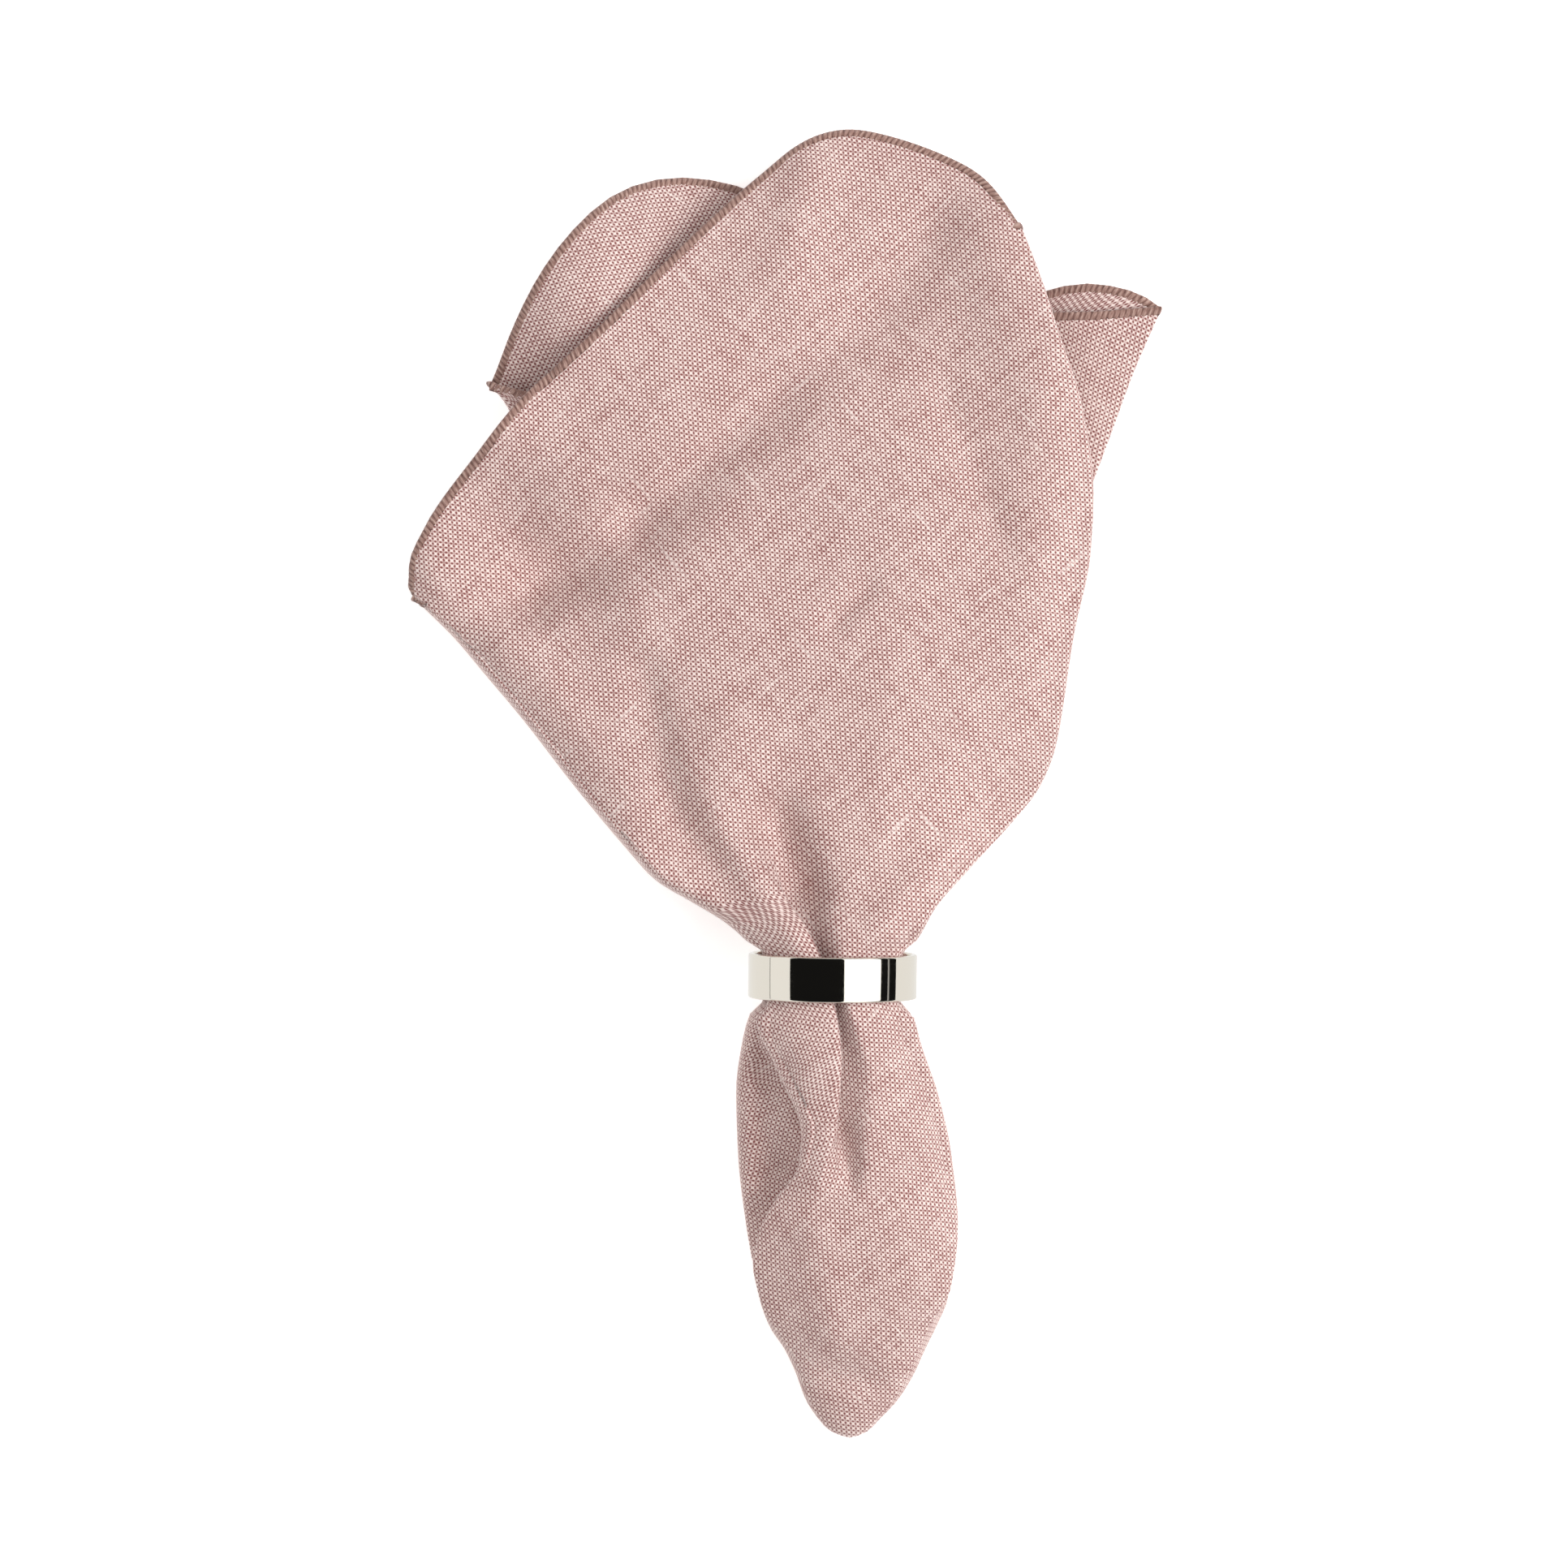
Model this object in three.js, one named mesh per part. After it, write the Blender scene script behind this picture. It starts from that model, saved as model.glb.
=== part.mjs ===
// A linen napkin pulled through a polished band ring, lying on a table.
// Millimetres, +Z up. The napkin's length runs along Y: the pinched bulb towards -Y, the ring at y = 0
// and the open fan towards +Y. The table is z = 0.
import * as THREE from "three";

// The cloth of the solid is a little thicker than real linen, so that its layers stay apart.
const CLOTH = 1.0;
const HALF_CLOTH = CLOTH / 2;

// The band ring, a plain strip bent round, turned slightly on the table.
const RING = { outer: 20, wall: 1.2, width: 10.6, edge: 0.3, facets: 96, turn: 0.6 };
const RING_CENTRE = RING.outer * Math.cos(Math.PI / RING.facets);

// Cross-sections of the bundle from the tip to just past the ring: side outlines, underside and top.
const SECTIONS = [
  { y: -109.8, left: 4.0, right: 4.6, low: 3.4, high: 4.6 },
  { y: -108.4, left: 0.2, right: 8.2, low: 1.4, high: 6.6 },
  { y: -106, left: -2.4, right: 10.6, low: 0.5, high: 8.6 },
  { y: -100.2, left: -6.3, right: 15.9, low: 0.5, high: 12 },
  { y: -94.4, left: -8.4, right: 19.4, low: 0.5, high: 15.5 },
  { y: -88.6, left: -11.1, right: 22, low: 0.5, high: 18.5 },
  { y: -82.9, left: -14.9, right: 24.8, low: 0.5, high: 21.5 },
  { y: -77, left: -17, right: 27.3, low: 0.5, high: 24 },
  { y: -59.7, left: -20.4, right: 29.6, low: 0.5, high: 29 },
  { y: -42.4, left: -22.3, right: 28, low: 0.5, high: 32 },
  { y: -28, left: -22.7, right: 24.8, low: 0.5, high: 34.5 },
  { y: -15, left: -21, right: 21.2, low: 0.8, high: 36.6 },
  { y: -6.2, left: -17.8, right: 17.8, low: 2.3, high: 37.7 },
  { y: 0, left: -17.7, right: 17.7, low: 2.3, high: 37.7 },
  { y: 6.2, left: -17.8, right: 17.8, low: 2.3, high: 37.7 },
  { y: 14, left: -26, right: 24, low: 0.9, high: 36.5 },
  { y: 25, left: -45, right: 33, low: 0.5, high: 34 },
  { y: 60, left: -75, right: 54, low: 0.5, high: 28 },
];

// How far apart the layers of the fan lie on each other, and how far out from a fold the layers
// above it start to rise.
const STACK = [
  { y: -60, pitch: 3.4, rise: 9 },
  { y: -25, pitch: 3.4, rise: 8 },
  { y: -9, pitch: 3.4, rise: 4 },
  { y: 0, pitch: 3.4, rise: 4 },
  { y: 12, pitch: 3.2, rise: 6 },
  { y: 25, pitch: 3, rise: 13 },
  { y: 45, pitch: 2.9, rise: 20 },
  { y: 90, pitch: 2.75, rise: 30 },
  { y: 200, pitch: 2.3, rise: 36 },
];

// The fold lines, in order round the napkin from the front's left edge.
// side is the way the fold points, ring its place in the ring, bulb its share of the half width
// there, rimX and rimY its end at the napkin's edge, turn its place round the pinched tip in
// degrees, round its largest radius.
const FOLDS = [
  { name: "front left", side: -1, ring: -15.2, bulb: -0.5, rimX: -98.4, rimY: 87.7, turn: 154, round: 3.2 },
  { name: "pleat ridge", side: 1, ring: -1.2, bulb: -0.05, rimX: -36, rimY: 171.4, turn: 106, round: 1.3 },
  { name: "pleat valley", side: -1, ring: -8, bulb: -0.1, rimX: -20, rimY: 186.8, turn: 96, round: 1.3 },
  { name: "front right", side: 1, ring: 15.4, bulb: 1, rimX: 44.2, rimY: 178, turn: 30, round: 3.2 },
  { name: "hidden left 1", side: -1, ring: -9.5, bulb: -0.02, rimX: -78, rimY: 92, turn: 18, round: 1.4 },
  { name: "hidden right 1", side: 1, ring: 11.5, bulb: 0.62, rimX: 48, rimY: 147, turn: 0, round: 1.4 },
  { name: "hidden left 2", side: -1, ring: -11, bulb: -0.6, rimX: -54, rimY: 112, turn: -20, round: 1.4 },
  { name: "right petal", side: 1, ring: 15.2, bulb: 0.9, rimX: 78.1, rimY: 158.4, turn: -33, round: 1.4 },
  { name: "back left", side: -1, ring: -10.6, bulb: -0.56, rimX: -50, rimY: 103, turn: -47, round: 1.4 },
  { name: "back right", side: 1, ring: 11, bulb: 0.6, rimX: 49, rimY: 143, turn: -64, round: 1.4 },
  { name: "left petal", side: -1, ring: -15.2, bulb: -1, rimX: -81.8, rimY: 140.3, turn: -140, round: 3.2 },
  { name: "hidden right 2", side: 1, ring: 8, bulb: 0.3, rimX: 14, rimY: 122, turn: -182, round: 1.4 },
];

// The runs of cloth between those folds. level counts up from the table, columns is the number of
// steps across.
const RUNS = [
  { level: 11, columns: 7 },
  { level: 10, columns: 2 },
  { level: 9, columns: 11 },
  { level: 8, columns: 7 },
  { level: 7, columns: 7 },
  { level: 4, columns: 5 },
  { level: 3, columns: 5 },
  { level: 2, columns: 6 },
  { level: 1, columns: 5 },
  { level: 0, columns: 8 },
  { level: 5, columns: 6 },
  { level: 6, columns: 8 },
];

// The course of the folds that show, from the tip of the bulb to the fan.
const COURSES = {
  "front left": [
    { y: -100, x: -5.8 },
    { y: -80, x: -14 },
    { y: -61.7, x: -14.5 },
    { y: -54, x: -12.6 },
    { y: -44.3, x: -7.8 },
    { y: -36.6, x: -7.2 },
    { y: -23, x: -11.7 },
    { y: -9, x: -16 },
    { y: -5.5, x: -15.2 },
    { y: 0, x: -15.2 },
    { y: 5.3, x: -15.6 },
    { y: 7.5, x: -18.6 },
    { y: 11.6, x: -24 },
    { y: 17.5, x: -33 },
    { y: 23, x: -42 },
    { y: 30, x: -48.5 },
    { y: 45, x: -62 },
    { y: 71, x: -83.5 },
    { y: 87.7, x: -98.4 },
    { y: 130, x: -135 },
  ],
  "pleat ridge": [
    { y: -100, x: 0 },
    { y: -62, x: -3 },
    { y: -46, x: -1 },
    { y: -34.7, x: 0.9 },
    { y: -20, x: 1.8 },
    { y: -7, x: 0.4 },
    { y: 4, x: -2.6 },
    { y: 12.4, x: -6.6 },
    { y: 21, x: -12.6 },
    { y: 36.6, x: -20.3 },
    { y: 57.8, x: -28 },
    { y: 77, x: -30.5 },
    { y: 171.4, x: -36 },
  ],
  "pleat valley": [
    { y: -100, x: 3 },
    { y: -62, x: 3 },
    { y: -46, x: 2.5 },
    { y: -34.7, x: 0 },
    { y: -20, x: -4.5 },
    { y: -7, x: -7.5 },
    { y: 4, x: -9 },
    { y: 12.4, x: -11 },
    { y: 21, x: -12 },
    { y: 36.6, x: -15 },
    { y: 57.8, x: -19 },
    { y: 77, x: -20.5 },
    { y: 186.8, x: -20 },
  ],
  "front right": [
    { y: 0, x: 15.4 },
    { y: 5.3, x: 15.8 },
    { y: 7.5, x: 18.4 },
    { y: 16.6, x: 24.6 },
    { y: 25, x: 32 },
    { y: 35.7, x: 42.5 },
    { y: 44.5, x: 49.5 },
    { y: 54, x: 53.2 },
    { y: 81, x: 57.4 },
    { y: 100, x: 61.2 },
    { y: 113.7, x: 61.8 },
    { y: 135, x: 58.7 },
    { y: 152, x: 53.2 },
    { y: 166, x: 48.8 },
    { y: 178, x: 44.2 },
    { y: 200, x: 36 },
  ],
  "right petal": [
    { y: 0, x: 15.2 },
    { y: 6, x: 15.6 },
    { y: 20, x: 23 },
    { y: 113.7, x: 60.8 },
    { y: 131, x: 67.3 },
    { y: 144.5, x: 72.2 },
    { y: 158.4, x: 78.1 },
    { y: 200, x: 95 },
  ],
  "left petal": [
    { y: 0, x: -15.2 },
    { y: 6, x: -15.6 },
    { y: 20, x: -22 },
    { y: 60, x: -42 },
    { y: 120, x: -69 },
    { y: 132, x: -75.4 },
    { y: 136.8, x: -78.2 },
    { y: 140.3, x: -81.8 },
    { y: 200, x: -120 },
  ],
};

// The napkin's edge between the folds: points that each run passes, from its first fold on.
const RIMS = {
  0: [
    { x: -100.7, y: 91.5 },
    { x: -98.4, y: 98.3 },
    { x: -91.6, y: 111.8 },
    { x: -81, y: 126.2 },
    { x: -74.3, y: 135 },
    { x: -53.1, y: 154.2 },
  ],
  1: [{ x: -27, y: 181.5 }],
  2: [
    { x: -12.6, y: 192.7 },
    { x: -5, y: 197.6 },
    { x: 2.8, y: 199.8 },
    { x: 16.3, y: 196.5 },
    { x: 24, y: 193.6 },
    { x: 33.6, y: 188.8 },
  ],
  3: [{ x: -20, y: 138 }],
  4: [
    { x: -30, y: 142 },
    { x: 14, y: 183 },
  ],
  5: [{ x: 0, y: 124 }],
  6: [
    { x: -8, y: 150 },
    { x: 26, y: 178 },
    { x: 52.9, y: 154.5 },
    { x: 68.3, y: 157.6 },
  ],
  7: [
    { x: 68.3, y: 162.8 },
    { x: 60.6, y: 163.8 },
    { x: 51, y: 161.8 },
    { x: 0, y: 128 },
  ],
  8: [{ x: 0, y: 124 }],
  9: [
    { x: 10, y: 163 },
    { x: -22, y: 188 },
    { x: -43.4, y: 189.8 },
    { x: -55, y: 182.6 },
    { x: -70.4, y: 163.8 },
  ],
  10: [
    { x: -73.3, y: 137.6 },
    { x: -30, y: 134 },
  ],
  11: [{ x: -45, y: 109 }],
};

// Stations along the cloth: in the bulb and the throat at one y for the whole section, then in equal
// shares of each ray's own length to the napkin's edge.
const BULB_ROWS = [-109.2, -107, -102, -95, -87, -79, -71, -62, -52, -41, -29, -17, -8.5, -4];
const THROAT_ROWS = [1, 5.5, 9, 13];
const FAN_ROWS = [0.055, 0.12, 0.2, 0.3, 0.42, 0.55, 0.68, 0.81, 0.92, 1];
const THROAT_END = THROAT_ROWS[THROAT_ROWS.length - 1];

// The bundle changes from an unfolded cone at the tip to the full folds between these places. There
// a fold takes up this turn of the cone, and young folds are relaxed by this many passes.
const TIP_Y = -109.8;
const UNFOLDED = -98;
const FOLDED = -55;
const TIP_BEND = 3.5;
const RELAX_PASSES = 14;

// Where the ring's round shape lets go of the fan, and where the knife pleat has opened.
const ROUND_TO = 10;
const FLAT_FROM = 52;
const PLEAT = {
  first: 1,
  second: 2,
  bulbOpen: -60,
  bulbShut: -38,
  fanShut: 22,
  fanOpen: 50,
  tight: 0.6,
  stripFrom: 0.4,
  stripOver: 0.2,
};

// Where the pleat has opened, the napkin's edge runs on over it at this slope.
const PLEAT_RIM_SLOPE = 0.96;

// A wide fold is pressed flatter in the last part of its way to the napkin's edge.
const EDGE_PRESS = { from: 0.8, by: 0.6 };

// How the folds draw together into the ring: from the bulb, and from the fan, where they set out
// more slowly at first.
const GATHER = { bulbOver: 40, fanFrom: 3, fanOver: 22, fanStart: 0.35 };

// The layers above a napkin edge sink over this length past it.
const EDGE_FALL = 36;

// The bundle's underside is round in the ring and flatter away from it.
const UNDERSIDE = { from: 8, over: 20, sharp: 3.4, round: 2, lift: 0.6, roundLift: 0.5, limit: 0.995 };

// A fold is as wide as this share of the gap between its layers, measured this far inside it.
const FOLD_GAP = { share: 0.55, inside: 1.2 };

// The cloth keeps this clear of the ring's bore, and eases off over these lengths.
const BORE = { clear: 0.45, soften: 1.2, past: 0.6, over: 3 };

// Petals lift only in the outer part of the fan.
const LIFT_FROM = 60;

// The cloth's direction at a point is taken over neighbours this far apart, so that it turns softly
// in tight folds.
const NORMAL_REACH = 4;
const NORMAL_SPAN = 1.8;

// The steps across a run are this much closer at its folds.
const END_CROWDING = 0.4;

// A turning fold is drawn in steps at these angles, a small one in a single step.
const WIDE_ROUND = 2;
const WIDE_BENDS = [50, 0, -50];
const SMALL_BENDS = [0];

// Soft shapes pressed into the front: a trough or ridge from one point to another.
const CREASES = [
  { x1: -74, y1: 88, x2: -24, y2: 123, depth: -2.4, width: 15 },
  { x1: -24, y1: 123, x2: 3, y2: 150, depth: -1.6, width: 15 },
  { x1: -16, y1: 38, x2: -6, y2: 12, depth: -2.2, width: 7 },
  { x1: -30, y1: 74, x2: -20, y2: 36, depth: 1.6, width: 8 },
  { x1: -5, y1: 79, x2: 10, y2: 94, depth: -0.9, width: 7 },
  { x1: 4, y1: -96, x2: 10, y2: -92, depth: -1.2, width: 5 },
];
// How far each petal's edge curls up from the table.
const LIFTS = [
  { x: -66, y: 172, height: 7, reach: 34 },
  { x: 76, y: 160, height: 8, reach: 30 },
  { x: 3, y: 200, height: 3, reach: 40 },
];

const clamp01 = (v) => Math.min(1, Math.max(0, v));
const soft = (v) => clamp01(v) ** 2 * (3 - 2 * clamp01(v));
const mix = (a, b, share) => a + (b - a) * share;

// A smooth curve through the rows of a table that never overshoots them, straight on past its ends.
function through(rows, from, to) {
  const a = rows.map((row) => row[from]);
  const b = rows.map((row) => row[to]);
  const last = a.length - 1;
  const rise = a.slice(1).map((v, i) => (b[i + 1] - b[i]) / (v - a[i]));
  const slope = a.map((_, i) => {
    if (i === 0) return rise[0];
    if (i === last) return rise[last - 1];
    const product = rise[i - 1] * rise[i];
    return product <= 0 ? 0 : (2 * product) / (rise[i - 1] + rise[i]);
  });
  return (v) => {
    if (v <= a[0]) return b[0] + slope[0] * (v - a[0]);
    if (v >= a[last]) return b[last] + slope[last] * (v - a[last]);
    let i = 0;
    while (v > a[i + 1]) i += 1;
    const span = a[i + 1] - a[i];
    const t = (v - a[i]) / span;
    const start = (1 + 2 * t) * (1 - t) ** 2 * b[i] + t * (1 - t) ** 2 * span * slope[i];
    return start + t * t * (3 - 2 * t) * b[i + 1] + t * t * (t - 1) * span * slope[i + 1];
  };
}

const leftOf = through(SECTIONS, "y", "left");
const rightOf = through(SECTIONS, "y", "right");
const lowOf = through(SECTIONS, "y", "low");
const highOf = through(SECTIONS, "y", "high");
const pitchOf = through(STACK, "y", "pitch");
const riseOf = through(STACK, "y", "rise");

// A fold's place across the bundle at any y.
function courseOf(fold) {
  const shown = COURSES[fold.name] && through(COURSES[fold.name], "y", "x");
  const shareInRing = fold.ring / rightOf(0);
  return (y) => {
    const middle = (leftOf(y) + rightOf(y)) / 2;
    const half = (rightOf(y) - leftOf(y)) / 2;
    const share = mix(shareInRing, fold.bulb, soft(-y / GATHER.bulbOver));
    if (shown && (y >= 0 || COURSES[fold.name][0].y < 0)) return shown(y);
    if (y <= 0) return middle + share * half;
    const spread = mix(GATHER.fanStart, 1, soft((y - GATHER.fanFrom) / GATHER.fanOver));
    return fold.ring + ((fold.rimX - fold.ring) * spread * y) / fold.rimY;
  };
}
const course = FOLDS.map(courseOf);
const foldAfter = (run) => (run + 1) % FOLDS.length;

// Each run's left and right fold.
const leftFold = RUNS.map((_, run) => (FOLDS[run].side < 0 ? run : foldAfter(run)));
const rightFold = RUNS.map((_, run) => (FOLDS[run].side < 0 ? foldAfter(run) : run));

// The edge of each run as one smooth curve, by the share of its length.
const rim = RUNS.map((_, run) => {
  const ends = [FOLDS[run], FOLDS[foldAfter(run)]].map((f) => ({ x: f.rimX, y: f.rimY }));
  const points = [ends[0], ...RIMS[run], ends[1]];
  let length = 0;
  const rows = points.map((p, i) => {
    if (i) length += Math.hypot(p.x - points[i - 1].x, p.y - points[i - 1].y);
    return { along: length, x: p.x, y: p.y };
  });
  const xAt = through(rows, "along", "x");
  const yAt = through(rows, "along", "y");
  const reach = Math.max(...points.map((p) => Math.hypot(p.x, p.y)));
  return { at: (share) => [xAt(share * length), yAt(share * length)], reach };
});

// The pleat is made of the front's runs: the strip between its two folds and one on either side.
const PLEAT_STRIP = PLEAT.first;
const FRONT_RUNS = PLEAT_STRIP + 2;
const pleatShut = (y) =>
  soft((y - PLEAT.bulbOpen) / (PLEAT.bulbShut - PLEAT.bulbOpen)) *
  (1 - soft((y - PLEAT.fanShut) / (PLEAT.fanOpen - PLEAT.fanShut)));

const isPleat = (fold) => fold === PLEAT.first || fold === PLEAT.second;

// How far a run covers a place: 1 on it, falling to 0 a little way outside its folds or its edge.
function cover(run, x, y) {
  const rise = riseOf(Math.max(-60, y));
  const left = soft((x - course[leftFold[run]](y)) / rise + 1);
  const right = soft((course[rightFold[run]](y) - x) / rise + 1);
  const outwards = y < 0 ? 1 : soft((rim[run].reach - Math.hypot(x, y)) / EDGE_FALL + 1);
  return left * right * outwards;
}

// How many layers lie under and over a run at a place.
function layersAt(run, x, y) {
  const shut = PLEAT.tight * pleatShut(y);
  let under = 0;
  let over = 0;
  let front = 0;
  RUNS.forEach((other, i) => {
    if (i === run) return;
    const covered = cover(i, x, y);
    if (i < FRONT_RUNS && run < FRONT_RUNS) {
      if (other.level < RUNS[run].level) under += covered * shut;
      else over += covered * shut;
    } else if (i < FRONT_RUNS) {
      over += covered * shut;
      front = Math.max(front, covered);
    } else if (other.level < RUNS[run].level) under += covered;
    else over += covered;
  });
  return [under, over + front * (1 - shut)];
}

// The bundle's underside and top: round in the ring, flattened where it lies on the table.
function envelope(x, y) {
  const left = leftOf(y);
  const right = rightOf(y);
  const off = clamp01(Math.abs((2 * x - left - right) / (right - left)));
  const middle = (lowOf(y) + highOf(y)) / 2;
  const tall = (highOf(y) - lowOf(y)) / 2;
  const flatness = soft((Math.abs(y) - UNDERSIDE.from) / UNDERSIDE.over);
  const top = Math.sqrt(1 - Math.min(UNDERSIDE.limit, off * off));
  const inwards = 1 - Math.min(UNDERSIDE.limit, off ** mix(UNDERSIDE.round, UNDERSIDE.sharp, flatness));
  const bottom = inwards ** mix(UNDERSIDE.roundLift, UNDERSIDE.lift, flatness);
  return [middle - tall * bottom, middle + tall * top];
}

function creaseAt(x, y) {
  let height = 0;
  for (const c of CREASES) {
    const dx = c.x2 - c.x1;
    const dy = c.y2 - c.y1;
    const along = clamp01(((x - c.x1) * dx + (y - c.y1) * dy) / (dx * dx + dy * dy));
    const off = Math.hypot(x - c.x1 - along * dx, y - c.y1 - along * dy) / c.width;
    height += c.depth * Math.exp(-off * off * 2);
  }
  return height;
}

function liftAt(x, y) {
  let height = 0;
  for (const l of LIFTS) height += l.height * (1 - soft(Math.hypot(x - l.x, y - l.y) / l.reach));
  return height;
}

// A run's height above the table at a place.
function heightAt(run, x, y) {
  const [under, over] = layersAt(run, x, y);
  const [bottom, top] = envelope(x, y);
  const round = 1 - soft((y - ROUND_TO) / (FLAT_FROM - ROUND_TO));
  const bundled = bottom + ((top - bottom) * under) / Math.max(0.001, under + over);
  const stacked = HALF_CLOTH + pitchOf(Math.max(0, y)) * under + (y > LIFT_FROM ? liftAt(x, y) : 0);
  return mix(stacked, bundled, round) + (creaseAt(x, y) * under) / Math.max(1, under + over);
}

// The unfolded loop at the tip: an oval whose parts follow each other in the same order.
function tipPoint(turn, y) {
  const angle = (turn * Math.PI) / 180;
  const middle = (leftOf(y) + rightOf(y)) / 2;
  const half = (rightOf(y) - leftOf(y)) / 2;
  const level = (lowOf(y) + highOf(y)) / 2;
  const tall = (highOf(y) - lowOf(y)) / 2;
  return [middle + half * Math.cos(angle), level + tall * Math.sin(angle)];
}

// The strip inside the pleat runs down from the run above it to the run below it.
function runHeight(run, share, x, y) {
  if (run !== PLEAT_STRIP) return heightAt(run, x, y);
  return mix(heightAt(run - 1, x, y), heightAt(run + 1, x, y), PLEAT.stripFrom + PLEAT.stripOver * share);
}

// One column of cloth from the tip to the edge. share runs across its run; at a fold, bend turns
// from 90 degrees on this run to -90 degrees on the next.
function columnPoint(run, share, bend, row) {
  const next = foldAfter(run);
  const [rimX, rimY] = rim[run].at(share);
  let y = row.y;
  let across;
  if (row.share === undefined) {
    across = mix(course[run](y), course[next](y), share);
  } else {
    y = mix(THROAT_END, rimY, row.share);
    const startX = mix(course[run](THROAT_END), course[next](THROAT_END), share);
    const strays = [run, next].map((f) => {
      const at = mix(THROAT_END, FOLDS[f].rimY, row.share);
      return course[f](at) - mix(course[f](THROAT_END), FOLDS[f].rimX, row.share);
    });
    across = mix(startX, rimX, row.share) + mix(strays[0], strays[1], share);
  }
  // The run stops short of each fold by the fold's radius. The strip between the pleat's two folds
  // runs on from them the other way once the pleat has opened.
  const radii = [run, next].map((f) => radiusOf(f, y) * pressedAt(f, row));
  const short = [run, next].map((f, i) => -FOLDS[f].side * Math.abs(radii[i]));
  const [fromStart, fromEnd] = run === PLEAT_STRIP ? [-radii[0], radii[1]] : short;
  const startOff = fromStart * (1 - share) ** 3;
  const endOff = fromEnd * share ** 3;
  const x = across + startOff + endOff;
  const pleatOff = (isPleat(run) ? startOff : 0) + (isPleat(next) ? endOff : 0);
  const slope = row.share === undefined ? 0 : PLEAT_RIM_SLOPE * row.share ** 2 * (1 - pleatShut(y));
  const atEdge = y + slope * pleatOff;
  const z = runHeight(run, share, x, atEdge);
  if (bend === null) return [x, atEdge, z];
  const angle = (bend * Math.PI) / 180;
  const beyond = runHeight(next, 0, x, y);
  const out = FOLDS[next].side * radii[1] * Math.cos(angle);
  return [isPleat(next) ? across : x + out, y, mix(beyond, z, (1 + Math.sin(angle)) / 2)];
}

// 1 along a fold's way, less near the napkin's edge where a wide fold is pressed flatter.
function pressedAt(fold, row) {
  if (row.share === undefined || FOLDS[fold].round < WIDE_ROUND) return 1;
  return 1 - EDGE_PRESS.by * soft((row.share - EDGE_PRESS.from) / (1 - EDGE_PRESS.from));
}

// A fold's radius: half the gap between its two layers, or more where it goes round others.
function radiusOf(fold, y) {
  if (isPleat(fold)) {
    const lap = (course[PLEAT.first](y) - course[PLEAT.second](y)) / 2;
    return Math.min(FOLDS[fold].round, Math.max(-FOLDS[fold].round, lap));
  }
  const before = (fold + RUNS.length - 1) % RUNS.length;
  const x = course[fold](y) - FOLDS[fold].side * FOLD_GAP.inside;
  const gap = Math.abs(heightAt(before, x, y) - heightAt(fold, x, y));
  return Math.min(FOLDS[fold].round, FOLD_GAP.share * gap) * foldedShare(y);
}
const foldedShare = (y) => soft((y - UNFOLDED) / (FOLDED - UNFOLDED));

// All columns round the loop: the steps of each run, then the turn of its fold.
const columns = [];
RUNS.forEach((r, run) => {
  for (let i = 0; i <= r.columns; i += 1) {
    const even = i / r.columns;
    const share = mix(even, (1 - Math.cos(Math.PI * even)) / 2, END_CROWDING);
    columns.push({ run, share, bend: null });
  }
  const bends = FOLDS[foldAfter(run)].round > WIDE_ROUND ? WIDE_BENDS : SMALL_BENDS;
  for (const bend of bends) columns.push({ run, share: 1, bend });
});
function turnOf(column) {
  const from = FOLDS[column.run].turn;
  const ahead = FOLDS[foldAfter(column.run)].turn;
  const to = ahead - (ahead > from ? 360 : 0);
  if (column.bend !== null) return to + (TIP_BEND * column.bend) / 90;
  return mix(from - TIP_BEND, to + TIP_BEND, column.share);
}

const rows = [
  ...BULB_ROWS.map((y) => ({ y })),
  ...THROAT_ROWS.map((y) => ({ y })),
  ...FAN_ROWS.map((share) => ({ share })),
];

// Keeps the cloth inside the ring's bore, softly.
function insideRing(p) {
  const held = 1 - soft((Math.abs(p.y) - RING.width / 2 - BORE.past) / BORE.over);
  const off = Math.hypot(p.x, p.z - RING_CENTRE);
  const bore = RING.outer - RING.wall - HALF_CLOTH - BORE.clear;
  if (off < bore - BORE.soften || held === 0) return p;
  const drawn = bore - BORE.soften * Math.exp(-(off - bore + BORE.soften) / BORE.soften);
  const scale = mix(1, drawn / off, held);
  return new THREE.Vector3(p.x * scale, p.y, RING_CENTRE + (p.z - RING_CENTRE) * scale);
}

// The middle surface of the cloth, one list of points for each row.
const middle = rows.map((row) =>
  columns.map((c) => {
    const [x, y, z] = columnPoint(c.run, c.share, c.bend, row);
    if (row.share !== undefined) return new THREE.Vector3(x, y, z);
    const [tipX, tipZ] = tipPoint(turnOf(c), y);
    const share = foldedShare(y);
    const point = new THREE.Vector3(mix(tipX, x, share), y, mix(tipZ, z, share));
    return insideRing(point);
  }),
);
// Young folds near the tip are relaxed, so that none is tighter than the cloth can turn.
middle.forEach((points, r) => {
  const passes = rows[r].share === undefined ? Math.round(RELAX_PASSES * (1 - foldedShare(rows[r].y))) : 0;
  for (let pass = 0; pass < passes; pass += 1) {
    const before = points.map((p) => p.clone());
    points.forEach((p, c) => {
      const after = before[(c + 1) % points.length];
      const behind = before[(c + points.length - 1) % points.length];
      p.lerp(after.clone().add(behind).multiplyScalar(0.5), 0.5);
    });
  }
});
const tip = new THREE.Vector3(
  (leftOf(TIP_Y) + rightOf(TIP_Y)) / 2,
  TIP_Y,
  (lowOf(TIP_Y) + highOf(TIP_Y)) / 2,
);

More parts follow.
